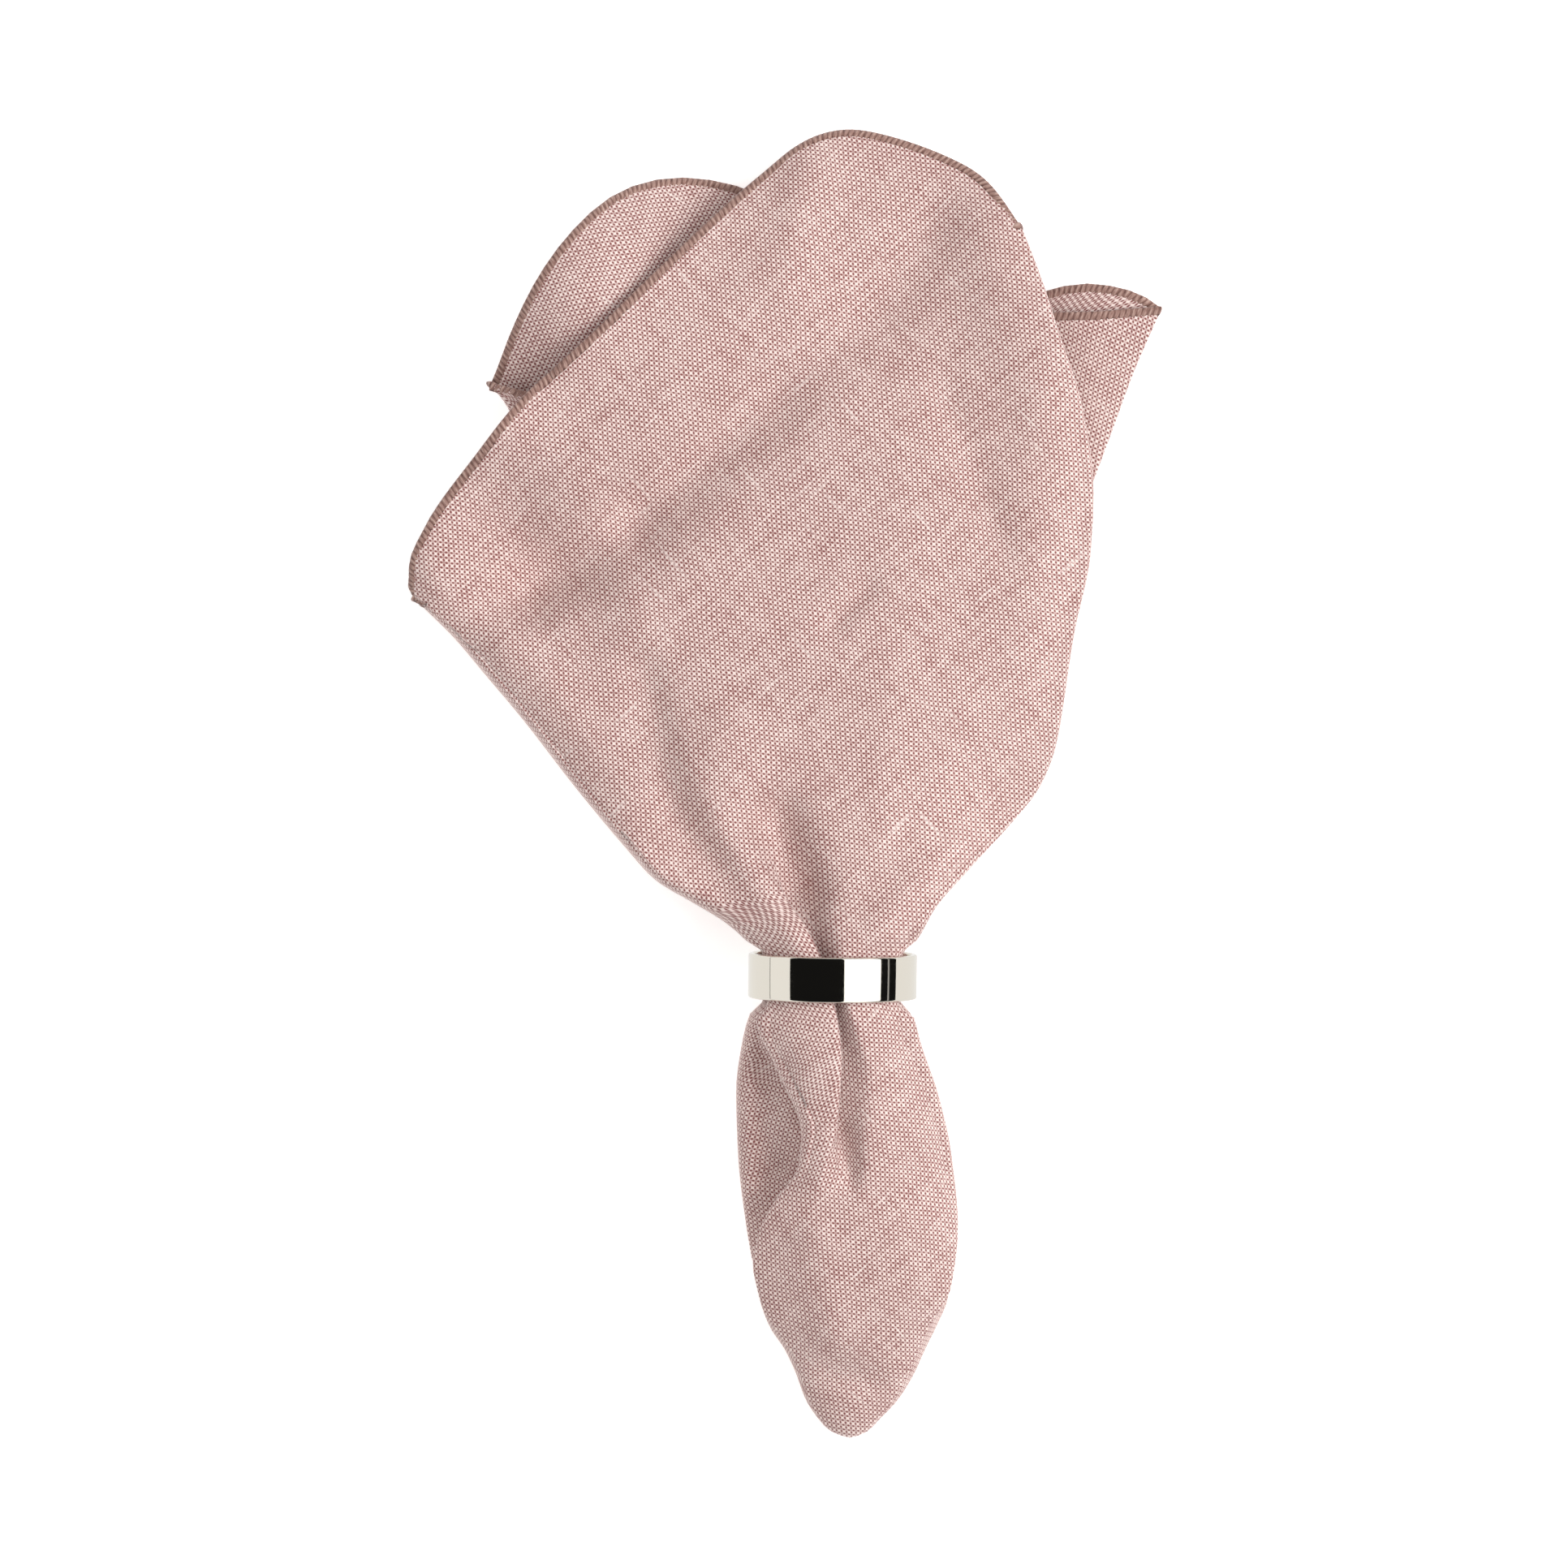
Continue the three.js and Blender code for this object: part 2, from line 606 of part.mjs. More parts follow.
// The cloth as a closed sheet: the middle surface moved out and in by half its thickness.
function clothGeometry() {
  const n = columns.length;
  const normals = middle.map((points, r) =>
    points.map((_, c) => {
      let across;
      for (let reach = 1; reach <= NORMAL_REACH; reach += 1) {
        across = points[(c + reach) % n].clone().sub(points[(c + n - reach) % n]);
        if (across.length() > NORMAL_SPAN) break;
      }
      const after = middle[Math.min(r + 1, middle.length - 1)][c];
      const before = r ? middle[r - 1][c] : tip;
      return across.cross(after.clone().sub(before)).normalize();
    }),
  );
  const position = [];
  const index = [];
  for (const side of [HALF_CLOTH, -HALF_CLOTH]) {
    position.push(tip.x, tip.y - side, tip.z);
    middle.forEach((points, r) =>
      points.forEach((p, c) => {
        const v = p.clone().addScaledVector(normals[r][c], side);
        position.push(v.x, v.y, v.z);
      }),
    );
  }
  const layer = 1 + middle.length * n;
  const at = (side, r, c) => side * layer + 1 + r * n + (c % n);
  for (const side of [0, 1]) {
    const put = (a, b, c) => (side ? index.push(a, b, c) : index.push(a, c, b));
    for (let c = 0; c < n; c += 1) {
      put(side * layer, at(side, 0, c), at(side, 0, c + 1));
      for (let r = 0; r + 1 < middle.length; r += 1) {
        put(at(side, r, c), at(side, r + 1, c), at(side, r + 1, c + 1));
        put(at(side, r, c), at(side, r + 1, c + 1), at(side, r, c + 1));
      }
    }
  }
  const end = middle.length - 1;
  for (let c = 0; c < n; c += 1) {
    index.push(at(0, end, c), at(1, end, c + 1), at(1, end, c));
    index.push(at(0, end, c), at(0, end, c + 1), at(1, end, c + 1));
  }
  const geometry = new THREE.BufferGeometry();
  geometry.setAttribute("position", new THREE.Float32BufferAttribute(position, 3));
  geometry.setIndex(index);
  return geometry;
}

// The ring: its strip's section turned round the axis, one facet down on the table.
function ringGeometry() {
  const inner = RING.outer - RING.wall;
  const half = RING.width / 2;
  const section = [
    [inner, -half + RING.edge],
    [inner + RING.edge, -half],
    [RING.outer - RING.edge, -half],
    [RING.outer, -half + RING.edge],
    [RING.outer, half - RING.edge],
    [RING.outer - RING.edge, half],
    [inner + RING.edge, half],
    [inner, half - RING.edge],
    [inner, -half + RING.edge],
  ].map(([x, y]) => new THREE.Vector2(x, y));
  const geometry = new THREE.LatheGeometry(section, RING.facets, Math.PI / RING.facets);
  geometry.rotateZ((RING.turn * Math.PI) / 180);
  geometry.translate(0, 0, RING_CENTRE);
  return geometry;
}

const linen = new THREE.MeshStandardMaterial({ color: 0xcfa49e, roughness: 0.95, metalness: 0 });
const steel = new THREE.MeshStandardMaterial({ color: 0xe0ddd6, roughness: 0.12, metalness: 1 });

const napkin = new THREE.Mesh(clothGeometry(), linen);
napkin.name = "napkin";
const ring = new THREE.Mesh(ringGeometry(), steel);
ring.name = "ring";

// The frame's origin is the middle of the object's footprint, on the table.
const group = new THREE.Group();
group.add(napkin, ring);
const bounds = new THREE.Box3().setFromObject(group, true);
const footprint = bounds.getCenter(new THREE.Vector3());
group.position.set(-footprint.x, -footprint.y, 0);
export default group;
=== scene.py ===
"""A linen napkin pulled through a polished band ring, lying on a white table, seen from above."""

import math

import bmesh
import bpy
import numpy as np
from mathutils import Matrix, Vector


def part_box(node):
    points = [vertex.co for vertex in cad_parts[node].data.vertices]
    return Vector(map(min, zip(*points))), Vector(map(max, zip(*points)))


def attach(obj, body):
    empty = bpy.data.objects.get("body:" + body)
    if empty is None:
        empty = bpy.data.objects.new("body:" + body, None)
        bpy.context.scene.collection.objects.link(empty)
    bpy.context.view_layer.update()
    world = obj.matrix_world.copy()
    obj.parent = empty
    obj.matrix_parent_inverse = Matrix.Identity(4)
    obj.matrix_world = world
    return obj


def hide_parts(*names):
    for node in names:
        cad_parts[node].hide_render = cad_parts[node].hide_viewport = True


bl_info = {
    "name": "Cloth napkin in a ring",
    "version": (1, 0, 0),
    "blender": (4, 5, 0),
    "location": "3D View > Sidebar > Napkin",
    "description": "Adds a folded linen napkin, its overlocked edge and its ring",
    "category": "Add Mesh",
}

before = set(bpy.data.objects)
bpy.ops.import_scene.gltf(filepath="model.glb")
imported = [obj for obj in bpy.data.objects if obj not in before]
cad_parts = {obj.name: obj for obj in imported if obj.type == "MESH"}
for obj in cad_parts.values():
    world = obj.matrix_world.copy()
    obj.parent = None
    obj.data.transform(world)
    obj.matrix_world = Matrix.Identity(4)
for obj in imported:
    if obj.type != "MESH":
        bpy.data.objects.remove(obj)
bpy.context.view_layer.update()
RING_LOW, RING_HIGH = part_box("ring")
MM = 0.001

# The tables below are in millimetres from the middle of the ring's band on the table. The bulb lies
# towards -y, the fan towards +y. RING_AT moves them to the model's own frame.
RING_AT = np.array([(RING_LOW.x + RING_HIGH.x) / 2, (RING_LOW.y + RING_HIGH.y) / 2, 0.0])

# Cross-sections of the bundle from the tip to past the ring: y, left, right, underside, top.
SECTIONS = np.array(
    [
        (-111.8, 4.0, 4.6, 3.4, 4.6),
        (-110.4, 0.2, 8.2, 1.4, 6.6),
        (-108.0, -2.4, 10.6, 0.5, 8.6),
        (-102.0, -6.3, 15.9, 0.5, 12.0),
        (-96.0, -8.4, 19.4, 0.5, 15.5),
        (-90.0, -11.1, 22.0, 0.5, 18.5),
        (-84.0, -14.9, 24.8, 0.5, 21.5),
        (-77.6, -17.0, 27.3, 0.5, 24.0),
        (-59.7, -20.4, 29.6, 0.5, 29.0),
        (-42.4, -22.3, 28.0, 0.5, 32.0),
        (-28.0, -22.7, 24.8, 0.5, 34.5),
        (-15.0, -21.0, 20.4, 0.8, 36.6),
        (-9.0, -19.3, 18.9, 1.6, 37.3),
        (-6.2, -18.2, 18.0, 2.3, 37.7),
        (0.0, -17.7, 17.7, 2.3, 37.7),
        (6.2, -17.8, 17.8, 2.3, 37.7),
        (14.0, -26.0, 24.0, 0.9, 36.5),
        (25.0, -45.0, 33.0, 0.5, 34.0),
        (60.0, -75.0, 54.0, 0.5, 28.0),
    ]
)

# The stack of the fan's layers: y, distance between two layers, and how far out from a fold the
# layers above it start to rise.
STACK = np.array(
    [
        (-60, 3.4, 9),
        (-25, 3.4, 8),
        (-9, 3.4, 4),
        (0, 3.4, 4),
        (12, 3.2, 6),
        (25, 3.0, 13),
        (45, 2.9, 20),
        (90, 2.75, 30),
        (200, 2.3, 36),
    ]
)

# The fold lines in order round the napkin: the way each points, its place in the ring, its share of
# the half width in the bulb, its end at the napkin's edge, its turn round the pinched tip in degrees,
# and its largest radius.
FOLDS = [
    {"name": "front left", "side": -1, "ring": -15.2, "bulb": -0.5,
     "rim": (-98.2, 88.6), "turn": 154, "round": 3.2},
    {"name": "pleat ridge", "side": 1, "ring": -1.2, "bulb": -0.05,
     "rim": (-36, 171.4), "turn": 106, "round": 1.3},
    {"name": "pleat valley", "side": -1, "ring": -8, "bulb": -0.1,
     "rim": (-20, 186.8), "turn": 96, "round": 1.3},
    {"name": "front right", "side": 1, "ring": 15.4, "bulb": 1,
     "rim": (44.2, 178), "turn": 30, "round": 3.2},
    {"name": "hidden left 1", "side": -1, "ring": -9.5, "bulb": -0.02,
     "rim": (-78, 92), "turn": 18, "round": 1.4},
    {"name": "hidden right 1", "side": 1, "ring": 11.5, "bulb": 0.62,
     "rim": (48, 147), "turn": 0, "round": 1.4},
    {"name": "hidden left 2", "side": -1, "ring": -11, "bulb": -0.6,
     "rim": (-54, 112), "turn": -20, "round": 1.4},
    {"name": "right petal", "side": 1, "ring": 15.2, "bulb": 0.9,
     "rim": (78.1, 158.4), "turn": -33, "round": 1.4},
    {"name": "back left", "side": -1, "ring": -10.6, "bulb": -0.56,
     "rim": (-50, 103), "turn": -47, "round": 1.4},
    {"name": "back right", "side": 1, "ring": 11, "bulb": 0.6,
     "rim": (49, 143), "turn": -64, "round": 1.4},
    {"name": "left petal", "side": -1, "ring": -15.2, "bulb": -1,
     "rim": (-81.8, 140.3), "turn": -140, "round": 3.2},
    {"name": "hidden right 2", "side": 1, "ring": 8, "bulb": 0.3,
     "rim": (14, 122), "turn": -182, "round": 1.4},
]
PLEAT_RIDGE, PLEAT_VALLEY = 1, 2

# The runs of cloth between those folds: level counts up from the table, columns are the steps across.
RUNS = [
    {"level": 11, "columns": 32},
    {"level": 10, "columns": 8},
    {"level": 9, "columns": 50},
    {"level": 8, "columns": 14},
    {"level": 7, "columns": 12},
    {"level": 4, "columns": 8},
    {"level": 3, "columns": 8},
    {"level": 2, "columns": 24},
    {"level": 1, "columns": 8},
    {"level": 0, "columns": 32},
    {"level": 5, "columns": 22},
    {"level": 6, "columns": 12},
]
FRONT_RUNS = 3
PLEAT_STRIP = 1

# The course of the folds that show: y, x from the tip of the bulb to the fan.
COURSES = {
    "front left": [(-100, -5.8), (-80, -14), (-61.7, -14.5), (-54, -12.6), (-44.3, -7.8), (-36.6, -7.2),
                   (-23, -11.7), (-9, -16), (-5.5, -15.6), (0, -15.6), (5.3, -16.8), (7.5, -19.2),
                   (11.6, -23.4), (17.5, -33), (23, -42), (30, -48.5), (45, -61.4), (60, -73),
                   (71, -82.2), (80, -89.8), (88.6, -98.2), (130, -134)],
    "pleat ridge": [(-100, 0), (-62, -3), (-46, -1), (-34.7, 0.9), (-20, 1.8), (-7, 0.4), (4, -2.6),
                    (12.4, -6.6), (21, -12.6), (36.6, -20.3), (57.8, -28), (77, -30.5), (171.4, -36)],
    "pleat valley": [(-100, 3), (-62, 3), (-46, 2.5), (-34.7, 0), (-20, -4.5), (-7, -7.5), (4, -9),
                     (12.4, -11), (21, -12), (36.6, -15), (57.8, -19), (77, -20.5), (186.8, -20)],
    "front right": [(0, 15.6), (5.3, 17), (7.5, 19), (16.6, 24.2), (25, 32), (35.7, 42.5),
                    (44.5, 49.5), (54, 53.2), (81, 57.4), (100, 61.2), (113.7, 61.8), (135, 58.7),
                    (152, 53.2), (166, 48.8), (178, 44.2), (200, 36)],
    "right petal": [(0, 15.2), (6, 15.6), (20, 23), (113.7, 60.8), (131, 67.3), (144.5, 72.2),
                    (158.4, 78.1), (200, 95)],
    "left petal": [(0, -15.2), (6, -15.6), (20, -22), (60, -42), (120, -69), (132, -75.4),
                   (136.8, -78.2), (140.3, -81.8), (200, -120)],
}

# The napkin's edge between the folds: the points that each run passes, from its first fold on.
RIMS = [
    [(-102.2, 92.8), (-100.4, 98.8), (-92.4, 112.2), (-81, 126.2), (-74.3, 135), (-53.1, 154.2)],
    [(-27, 181.5)],
    [(-13, 193.6), (-6, 198.2), (3, 200.8), (17.5, 197.8), (26, 194.6), (35.6, 189.6)],
    [(-20, 138)],
    [(-30, 142), (14, 183)],
    [(0, 124)],
    [(-8, 150), (26, 178), (50, 152.6), (58, 156.4), (68.3, 159.2)],
    [(70, 163.4), (61.4, 165), (51, 162.8), (0, 128)],
    [(0, 124)],
    [(10, 163), (-22, 188), (-43.4, 189.8), (-55, 182.6), (-70.4, 163.8)],
    [(-73.3, 137.6), (-30, 134)],
    [(-45, 109)],
]

# How a hidden fold runs: from its place in the ring to its share of the bulb over this length, and
# in the fan from this share of its way outwards to all of it.
RING_TO_BULB = 40.0
FAN_START = 0.35
SPREAD_FROM, SPREAD_OVER = 3.0, 22.0

# An edge's turns are rounded off over this share of its length.
RIM_EASE = 0.07

# Stations along the cloth.
TIP_Y = -111.8
TIP_CROWDING = 1.3
THROAT_FROM, THROAT_END = -4.0, 13.0
BULB_ROWS, THROAT_STEPS, FAN_ROWS = 50, 8, 88
UNFOLDED, FOLDED = -88.0, -44.0
TIP_BEND = 3.5
ROUND_TO, FLAT_FROM = 10.0, 52.0
FILL_FROM, FILL_TO = -10.0, -5.0
PLEAT_BULB = (-60.0, -38.0)
PLEAT_FAN = (22.0, 50.0)
PLEAT_TIGHT = 0.6
PLEAT_REACH = 16
PLEAT_BLUR = 6.0
TIP_BLUR = 7.0

# The bundle's section is round near the ring and turns flatter below over this length.
ROUND_NEAR, FLATTEN_OVER = 8.0, 20.0

# The lowest layer's middle lies this far above the table.
TABLE_GAP = 0.5

# The strip inside the pleat lies between these shares of the way from the run above to the run below.
STRIP_FROM, STRIP_TO = 0.4, 0.6

# A fold's radius is this share of the gap between its layers, read this far in from the fold, and
# over the last part of the way to the napkin's edge the fold is pressed to a smaller one.
GAP_SHARE = 0.55
GAP_INSET = 1.2
PRESSED_FROM, PRESSED_TO = 0.8, 0.3

# The columns of a run crowd towards its folds by this share.
COLUMN_CROWDING = 0.4

# The side of the napkin as cut.
SIDE = 450.0

# The weave lies straight on each face that shows: its runs, the run that it is laid out from, and the
# direction of its threads in degrees. It changes over in the hidden cloth between them.
FACES = [
    {"runs": (0, 2), "from": 2, "threads": 43},
    {"runs": (6, 7), "from": 6, "threads": 30},
    {"runs": (9, 10), "from": 9, "threads": 60},
]
PAST_FOLD = 5

# From the bulb to the fan, a face's own steps change from their true length to the length seen from
# above.
LEVEL_FROM, LEVEL_TO = -5.0, 5.0

# The stitching's UV map counts this many stitches to one.
STITCHES_IN_UV = 2000

# Soft shapes pressed into the cloth: a trough or ridge from one point to another, with its depth and
# its half width.
CREASES = [
    {"from": (-72, 90), "to": (-50, 106), "depth": -8.0, "width": 15},
    {"from": (-41, 113.5), "to": (-20, 133), "depth": -6.5, "width": 13},
    {"from": (-76, 82), "to": (-66, 84), "depth": 4.0, "width": 12},
    {"from": (-11, 141), "to": (8, 156), "depth": -4.0, "width": 13},
    {"from": (16, 166), "to": (23, 178), "depth": -2.4, "width": 11},
    {"from": (-69, 165), "to": (-55, 156.5), "depth": -1.8, "width": 5},
    {"from": (-75, 146), "to": (-66, 141), "depth": -1.8, "width": 4},
    {"from": (-98, 102), "to": (-86, 129), "depth": 14.0, "width": 21},
    {"from": (-6, 190), "to": (-12, 164), "depth": 4.2, "width": 12},
    {"from": (41, 174), "to": (54, 128), "depth": 5.5, "width": 20},
    {"from": (18, 146), "to": (24, 162), "depth": -2.6, "width": 20},
    {"from": (26, 138), "to": (40, 100), "depth": -1.6, "width": 6},
    {"from": (46, 54), "to": (53, 106), "depth": 4.5, "width": 15},
    {"from": (0, 84), "to": (8, 92), "depth": -2.0, "width": 4},
    {"from": (-71, 78), "to": (-50, 42), "depth": 4.6, "width": 17},
    {"from": (-44, 71), "to": (-38.5, 43), "depth": -3.6, "width": 9},
    {"from": (-36, 35), "to": (-19, 13), "depth": -2.6, "width": 9},
    {"from": (-26, 56), "to": (-23, 38), "depth": 2.2, "width": 10},
    {"from": (-19, 30), "to": (-9, 12), "depth": 1.6, "width": 7},
    {"from": (-15, 37), "to": (-8, 21), "depth": -8.0, "width": 9},
    {"from": (-6, 18), "to": (-2.5, 7), "depth": -3.4, "width": 5},
    {"from": (13, 12), "to": (27, 29), "depth": 3.4, "width": 8},
    {"from": (-91, 86), "to": (-52, 36), "depth": 14.0, "width": 26},
    {"from": (-44, 27), "to": (-24, 9), "depth": 7.0, "width": 12},
    {"from": (-16.5, -22), "to": (-15, -46), "depth": -10.5, "width": 8.5},
    {"from": (3, -37), "to": (4, -47), "depth": -2.6, "width": 3.8},
    {"from": (-13, -62), "to": (-9, -86), "depth": -1.2, "width": 8},
    {"from": (0, -95), "to": (9, -97), "depth": -2.2, "width": 6},
    {"from": (-3, -60), "to": (0, -86), "depth": 1.4, "width": 5},
]

# Where the petals' edges curl up from the table, past LIFT_FROM.
LIFTS = [
    {"at": (-66, 172), "height": 7, "reach": 34},
    {"at": (76, 160), "height": 8, "reach": 30},
    {"at": (3, 200), "height": 3, "reach": 40},
]
LIFT_FROM = 60.0

# Where folds that crumple underneath hold a petal's layers up. Layers at PROP_TO and above stay.
PROPS = [{"at": (-55, 157), "height": 23, "reach": 62}]
PROP_TO = 31.0

# The layers above the napkin's edge fall softly past it over this length.
EDGE_FALL = 36.0


def smooth(v):
    """A soft step from 0 to 1: 3v^2 - 2v^3 with v held between 0 and 1."""
    v = np.clip(v, 0, 1)
    return v * v * (3 - 2 * v)


def mix(a, b, share):
    """From a to b by share."""
    return a + (b - a) * share


def through(a, b):
    """A curve through the pairs (a, b) that never overshoots: cubic pieces whose slopes are the
    harmonic mean of the chords beside them, and straight on past both ends."""
    a = np.asarray(a, float)
    b = np.asarray(b, float)
    chord = np.diff(b) / np.diff(a)
    product = chord[:-1] * chord[1:]
    total = chord[:-1] + chord[1:]
    inner = np.where(product > 0, 2 * product / np.where(total == 0, 1, total), 0)
    slope = np.concatenate([chord[:1], inner, chord[-1:]])

    def curve(v):
        v = np.asarray(v, float)
        i = np.clip(np.searchsorted(a, v) - 1, 0, len(a) - 2)
        span = a[i + 1] - a[i]
        t = np.clip((v - a[i]) / span, 0, 1)
        start = (1 + 2 * t) * (1 - t) ** 2 * b[i] + t * (1 - t) ** 2 * span * slope[i]
        end = t * t * (3 - 2 * t) * b[i + 1] + t * t * (t - 1) * span * slope[i + 1]
        beyond = slope[0] * np.minimum(v - a[0], 0) + slope[-1] * np.maximum(v - a[-1], 0)
        return start + end + beyond

    return curve


left_of = through(SECTIONS[:, 0], SECTIONS[:, 1])
right_of = through(SECTIONS[:, 0], SECTIONS[:, 2])
low_of = through(SECTIONS[:, 0], SECTIONS[:, 3])
high_of = through(SECTIONS[:, 0], SECTIONS[:, 4])
pitch_of = through(STACK[:, 0], STACK[:, 1])
rise_of = through(STACK[:, 0], STACK[:, 2])


def course_of(fold):
    """A fold's place across the bundle: its own table where it shows, and otherwise a share of the
    bundle's half width in the bulb and a line to its end at the napkin's edge in the fan."""
    points = COURSES.get(fold["name"])
    shown = through(*zip(*points)) if points else None
    in_ring = fold["ring"] / right_of(0.0)

    def course(y):
        y = np.asarray(y, float)
        middle = (left_of(y) + right_of(y)) / 2
        half = (right_of(y) - left_of(y)) / 2
        bulb = middle + mix(in_ring, fold["bulb"], smooth(-y / RING_TO_BULB)) * half
        spread = mix(FAN_START, 1, smooth((y - SPREAD_FROM) / SPREAD_OVER))
        fan = fold["ring"] + (fold["rim"][0] - fold["ring"]) * spread * y / fold["rim"][1]
        hidden = np.where(y <= 0, bulb, fan)
        if not points:
            return hidden
        if points[0][0] < 0:
            return shown(y)
        return np.where(y >= 0, shown(y), hidden)

    return course


COURSE = [course_of(fold) for fold in FOLDS]


def after(run):
    """The fold at the end of a run, and the run after it."""
    return (run + 1) % len(FOLDS)


LEFT_FOLD = [run if FOLDS[run]["side"] < 0 else after(run) for run in range(len(RUNS))]
RIGHT_FOLD = [after(run) if FOLDS[run]["side"] < 0 else run for run in range(len(RUNS))]


def rim_of(run):
    """A run's edge as one smooth curve by the share of its length, and how far it reaches."""
    points = np.array([FOLDS[run]["rim"], *RIMS[run], FOLDS[after(run)]["rim"]], float)
    along = np.concatenate([[0], np.cumsum(np.hypot(*np.diff(points, axis=0).T))])
    x_at = through(along, points[:, 0])
    y_at = through(along, points[:, 1])

    def edge(share):
        """The curve averaged over a short length, which rounds its turns off."""
        reach = np.minimum(RIM_EASE, np.minimum(share, 1 - share))
        taps = np.linspace(-1, 1, 7)
        at = [(share + tap * reach) * along[-1] for tap in taps]
        return sum(x_at(a) for a in at) / len(taps), sum(y_at(a) for a in at) / len(taps)

    return edge, np.hypot(*points.T).max()


RIM = [rim_of(run) for run in range(len(RUNS))]


def pleat_shut(y):
    """1 where the knife pleat is pressed flat, 0 where it has opened into the panel."""
    opened = smooth((y - PLEAT_BULB[0]) / (PLEAT_BULB[1] - PLEAT_BULB[0]))
    return opened * (1 - smooth((y - PLEAT_FAN[0]) / (PLEAT_FAN[1] - PLEAT_FAN[0])))


def cover(run, x, y):
    """How far a run covers a place: 1 on it, falling softly to 0 outside its folds and its edge."""
    rise = rise_of(np.maximum(-60, y))
    left = smooth((x - COURSE[LEFT_FOLD[run]](y)) / rise + 1)
    right = smooth((COURSE[RIGHT_FOLD[run]](y) - x) / rise + 1)
    outwards = np.where(y < 0, 1, smooth((RIM[run][1] - np.hypot(x, y)) / EDGE_FALL + 1))
    return left * right * outwards


def layers_at(run, x, y):
    """How many layers lie under and over a run at a place."""
    shut = PLEAT_TIGHT * pleat_shut(y)
    under = np.zeros_like(x)
    over = np.zeros_like(x)
    front = np.zeros_like(x)
    for i, other in enumerate(RUNS):
        if i == run:
            continue
        covered = cover(i, x, y)
        if i < FRONT_RUNS:
            covered_front = covered
            covered = covered * shut
            if run >= FRONT_RUNS:
                front = np.maximum(front, covered_front)
        if other["level"] < RUNS[run]["level"]:
            under = under + covered
        else:
            over = over + covered
    return under, over + front * (1 - shut)


def envelope(x, y):
    """The bundle's underside and top: a circle in the ring, flattened where it lies on the table."""
    left = left_of(y)
    right = right_of(y)
    off = np.clip(np.abs((2 * x - left - right) / (right - left)), 0, 1)
    middle = (low_of(y) + high_of(y)) / 2
    tall = (high_of(y) - low_of(y)) / 2
    flatness = smooth((np.abs(y) - ROUND_NEAR) / FLATTEN_OVER)
    most = 0.995
    top = np.sqrt(1 - np.minimum(most, off * off))
    bottom = (1 - np.minimum(most, off ** mix(2, 3.4, flatness))) ** mix(0.5, 0.6, flatness)
    return middle - tall * bottom, middle + tall * top


def crease_at(x, y):
    """The sum of the soft troughs and ridges: each a bell over the distance to its line."""
    height = np.zeros_like(x)
    for crease in CREASES:
        (x1, y1), (x2, y2) = crease["from"], crease["to"]
        dx, dy = x2 - x1, y2 - y1
        along = np.clip(((x - x1) * dx + (y - y1) * dy) / (dx * dx + dy * dy), 0, 1)
        off = np.hypot(x - x1 - along * dx, y - y1 - along * dy) / crease["width"]
        height = height + crease["depth"] * np.exp(-2 * off * off)
    return height


def raised(bumps, x, y):
    """How far round soft bumps raise the cloth: each is full at its middle and gone at its reach."""
    height = np.zeros_like(x)
    for bump in bumps:
        far = np.hypot(x - bump["at"][0], y - bump["at"][1]) / bump["reach"]
        height = height + bump["height"] * (1 - smooth(far))
    return height


def height_at(run, x, y):
    """A run's height: in the bundle its share of the way from underside to top, in the fan its
    layers' thickness, and between them a soft change, with the creases pressed in."""
    under, over = layers_at(run, x, y)
    bottom, top = envelope(x, y)
    gathered = 1 - smooth((y - ROUND_TO) / (FLAT_FROM - ROUND_TO))
    bundled = bottom + (top - bottom) * under / np.maximum(0.001, under + over)
    pitch = pitch_of(np.maximum(0, y))
    stacked = TABLE_GAP + pitch * under + np.where(y > LIFT_FROM, raised(LIFTS, x, y), 0)
    stacked = stacked + raised(PROPS, x, y) * (1 - np.clip(pitch * under / PROP_TO, 0, 1))
    return mix(stacked, bundled, gathered) + crease_at(x, y) * under / np.maximum(1, under + over)


def run_height(run, share, x, y):
    """A run's height; the strip inside the pleat runs from the run above it to the run below it."""
    if run != PLEAT_STRIP:
        return height_at(run, x, y)
    return mix(height_at(run - 1, x, y), height_at(run + 1, x, y), mix(STRIP_FROM, STRIP_TO, share))


def folded_share(y):
    """0 at the unfolded tip, 1 where the bundle has its full folds."""
    return smooth((y - UNFOLDED) / (FOLDED - UNFOLDED))


def radius_of(fold, y):
    """A fold's radius: half the gap between its two layers, or the pleat's lap, held to its largest."""
    largest = FOLDS[fold]["round"]
    if fold in (PLEAT_RIDGE, PLEAT_VALLEY):
        return np.clip((COURSE[PLEAT_RIDGE](y) - COURSE[PLEAT_VALLEY](y)) / 2, -largest, largest)
    before = (fold - 1) % len(RUNS)
    x = COURSE[fold](y) - FOLDS[fold]["side"] * GAP_INSET
    gap = np.abs(height_at(before, x, y) - height_at(fold, x, y))
    return np.minimum(largest, GAP_SHARE * gap) * folded_share(y)


def at_edge(rows):
    """1 along the cloth and less at the napkin's edge, where a fold is pressed flatter."""
    part = np.where(np.isfinite(rows["share"]), rows["share"], 0)
    return mix(1, PRESSED_TO, smooth((part - PRESSED_FROM) / (1 - PRESSED_FROM)))[:, None]


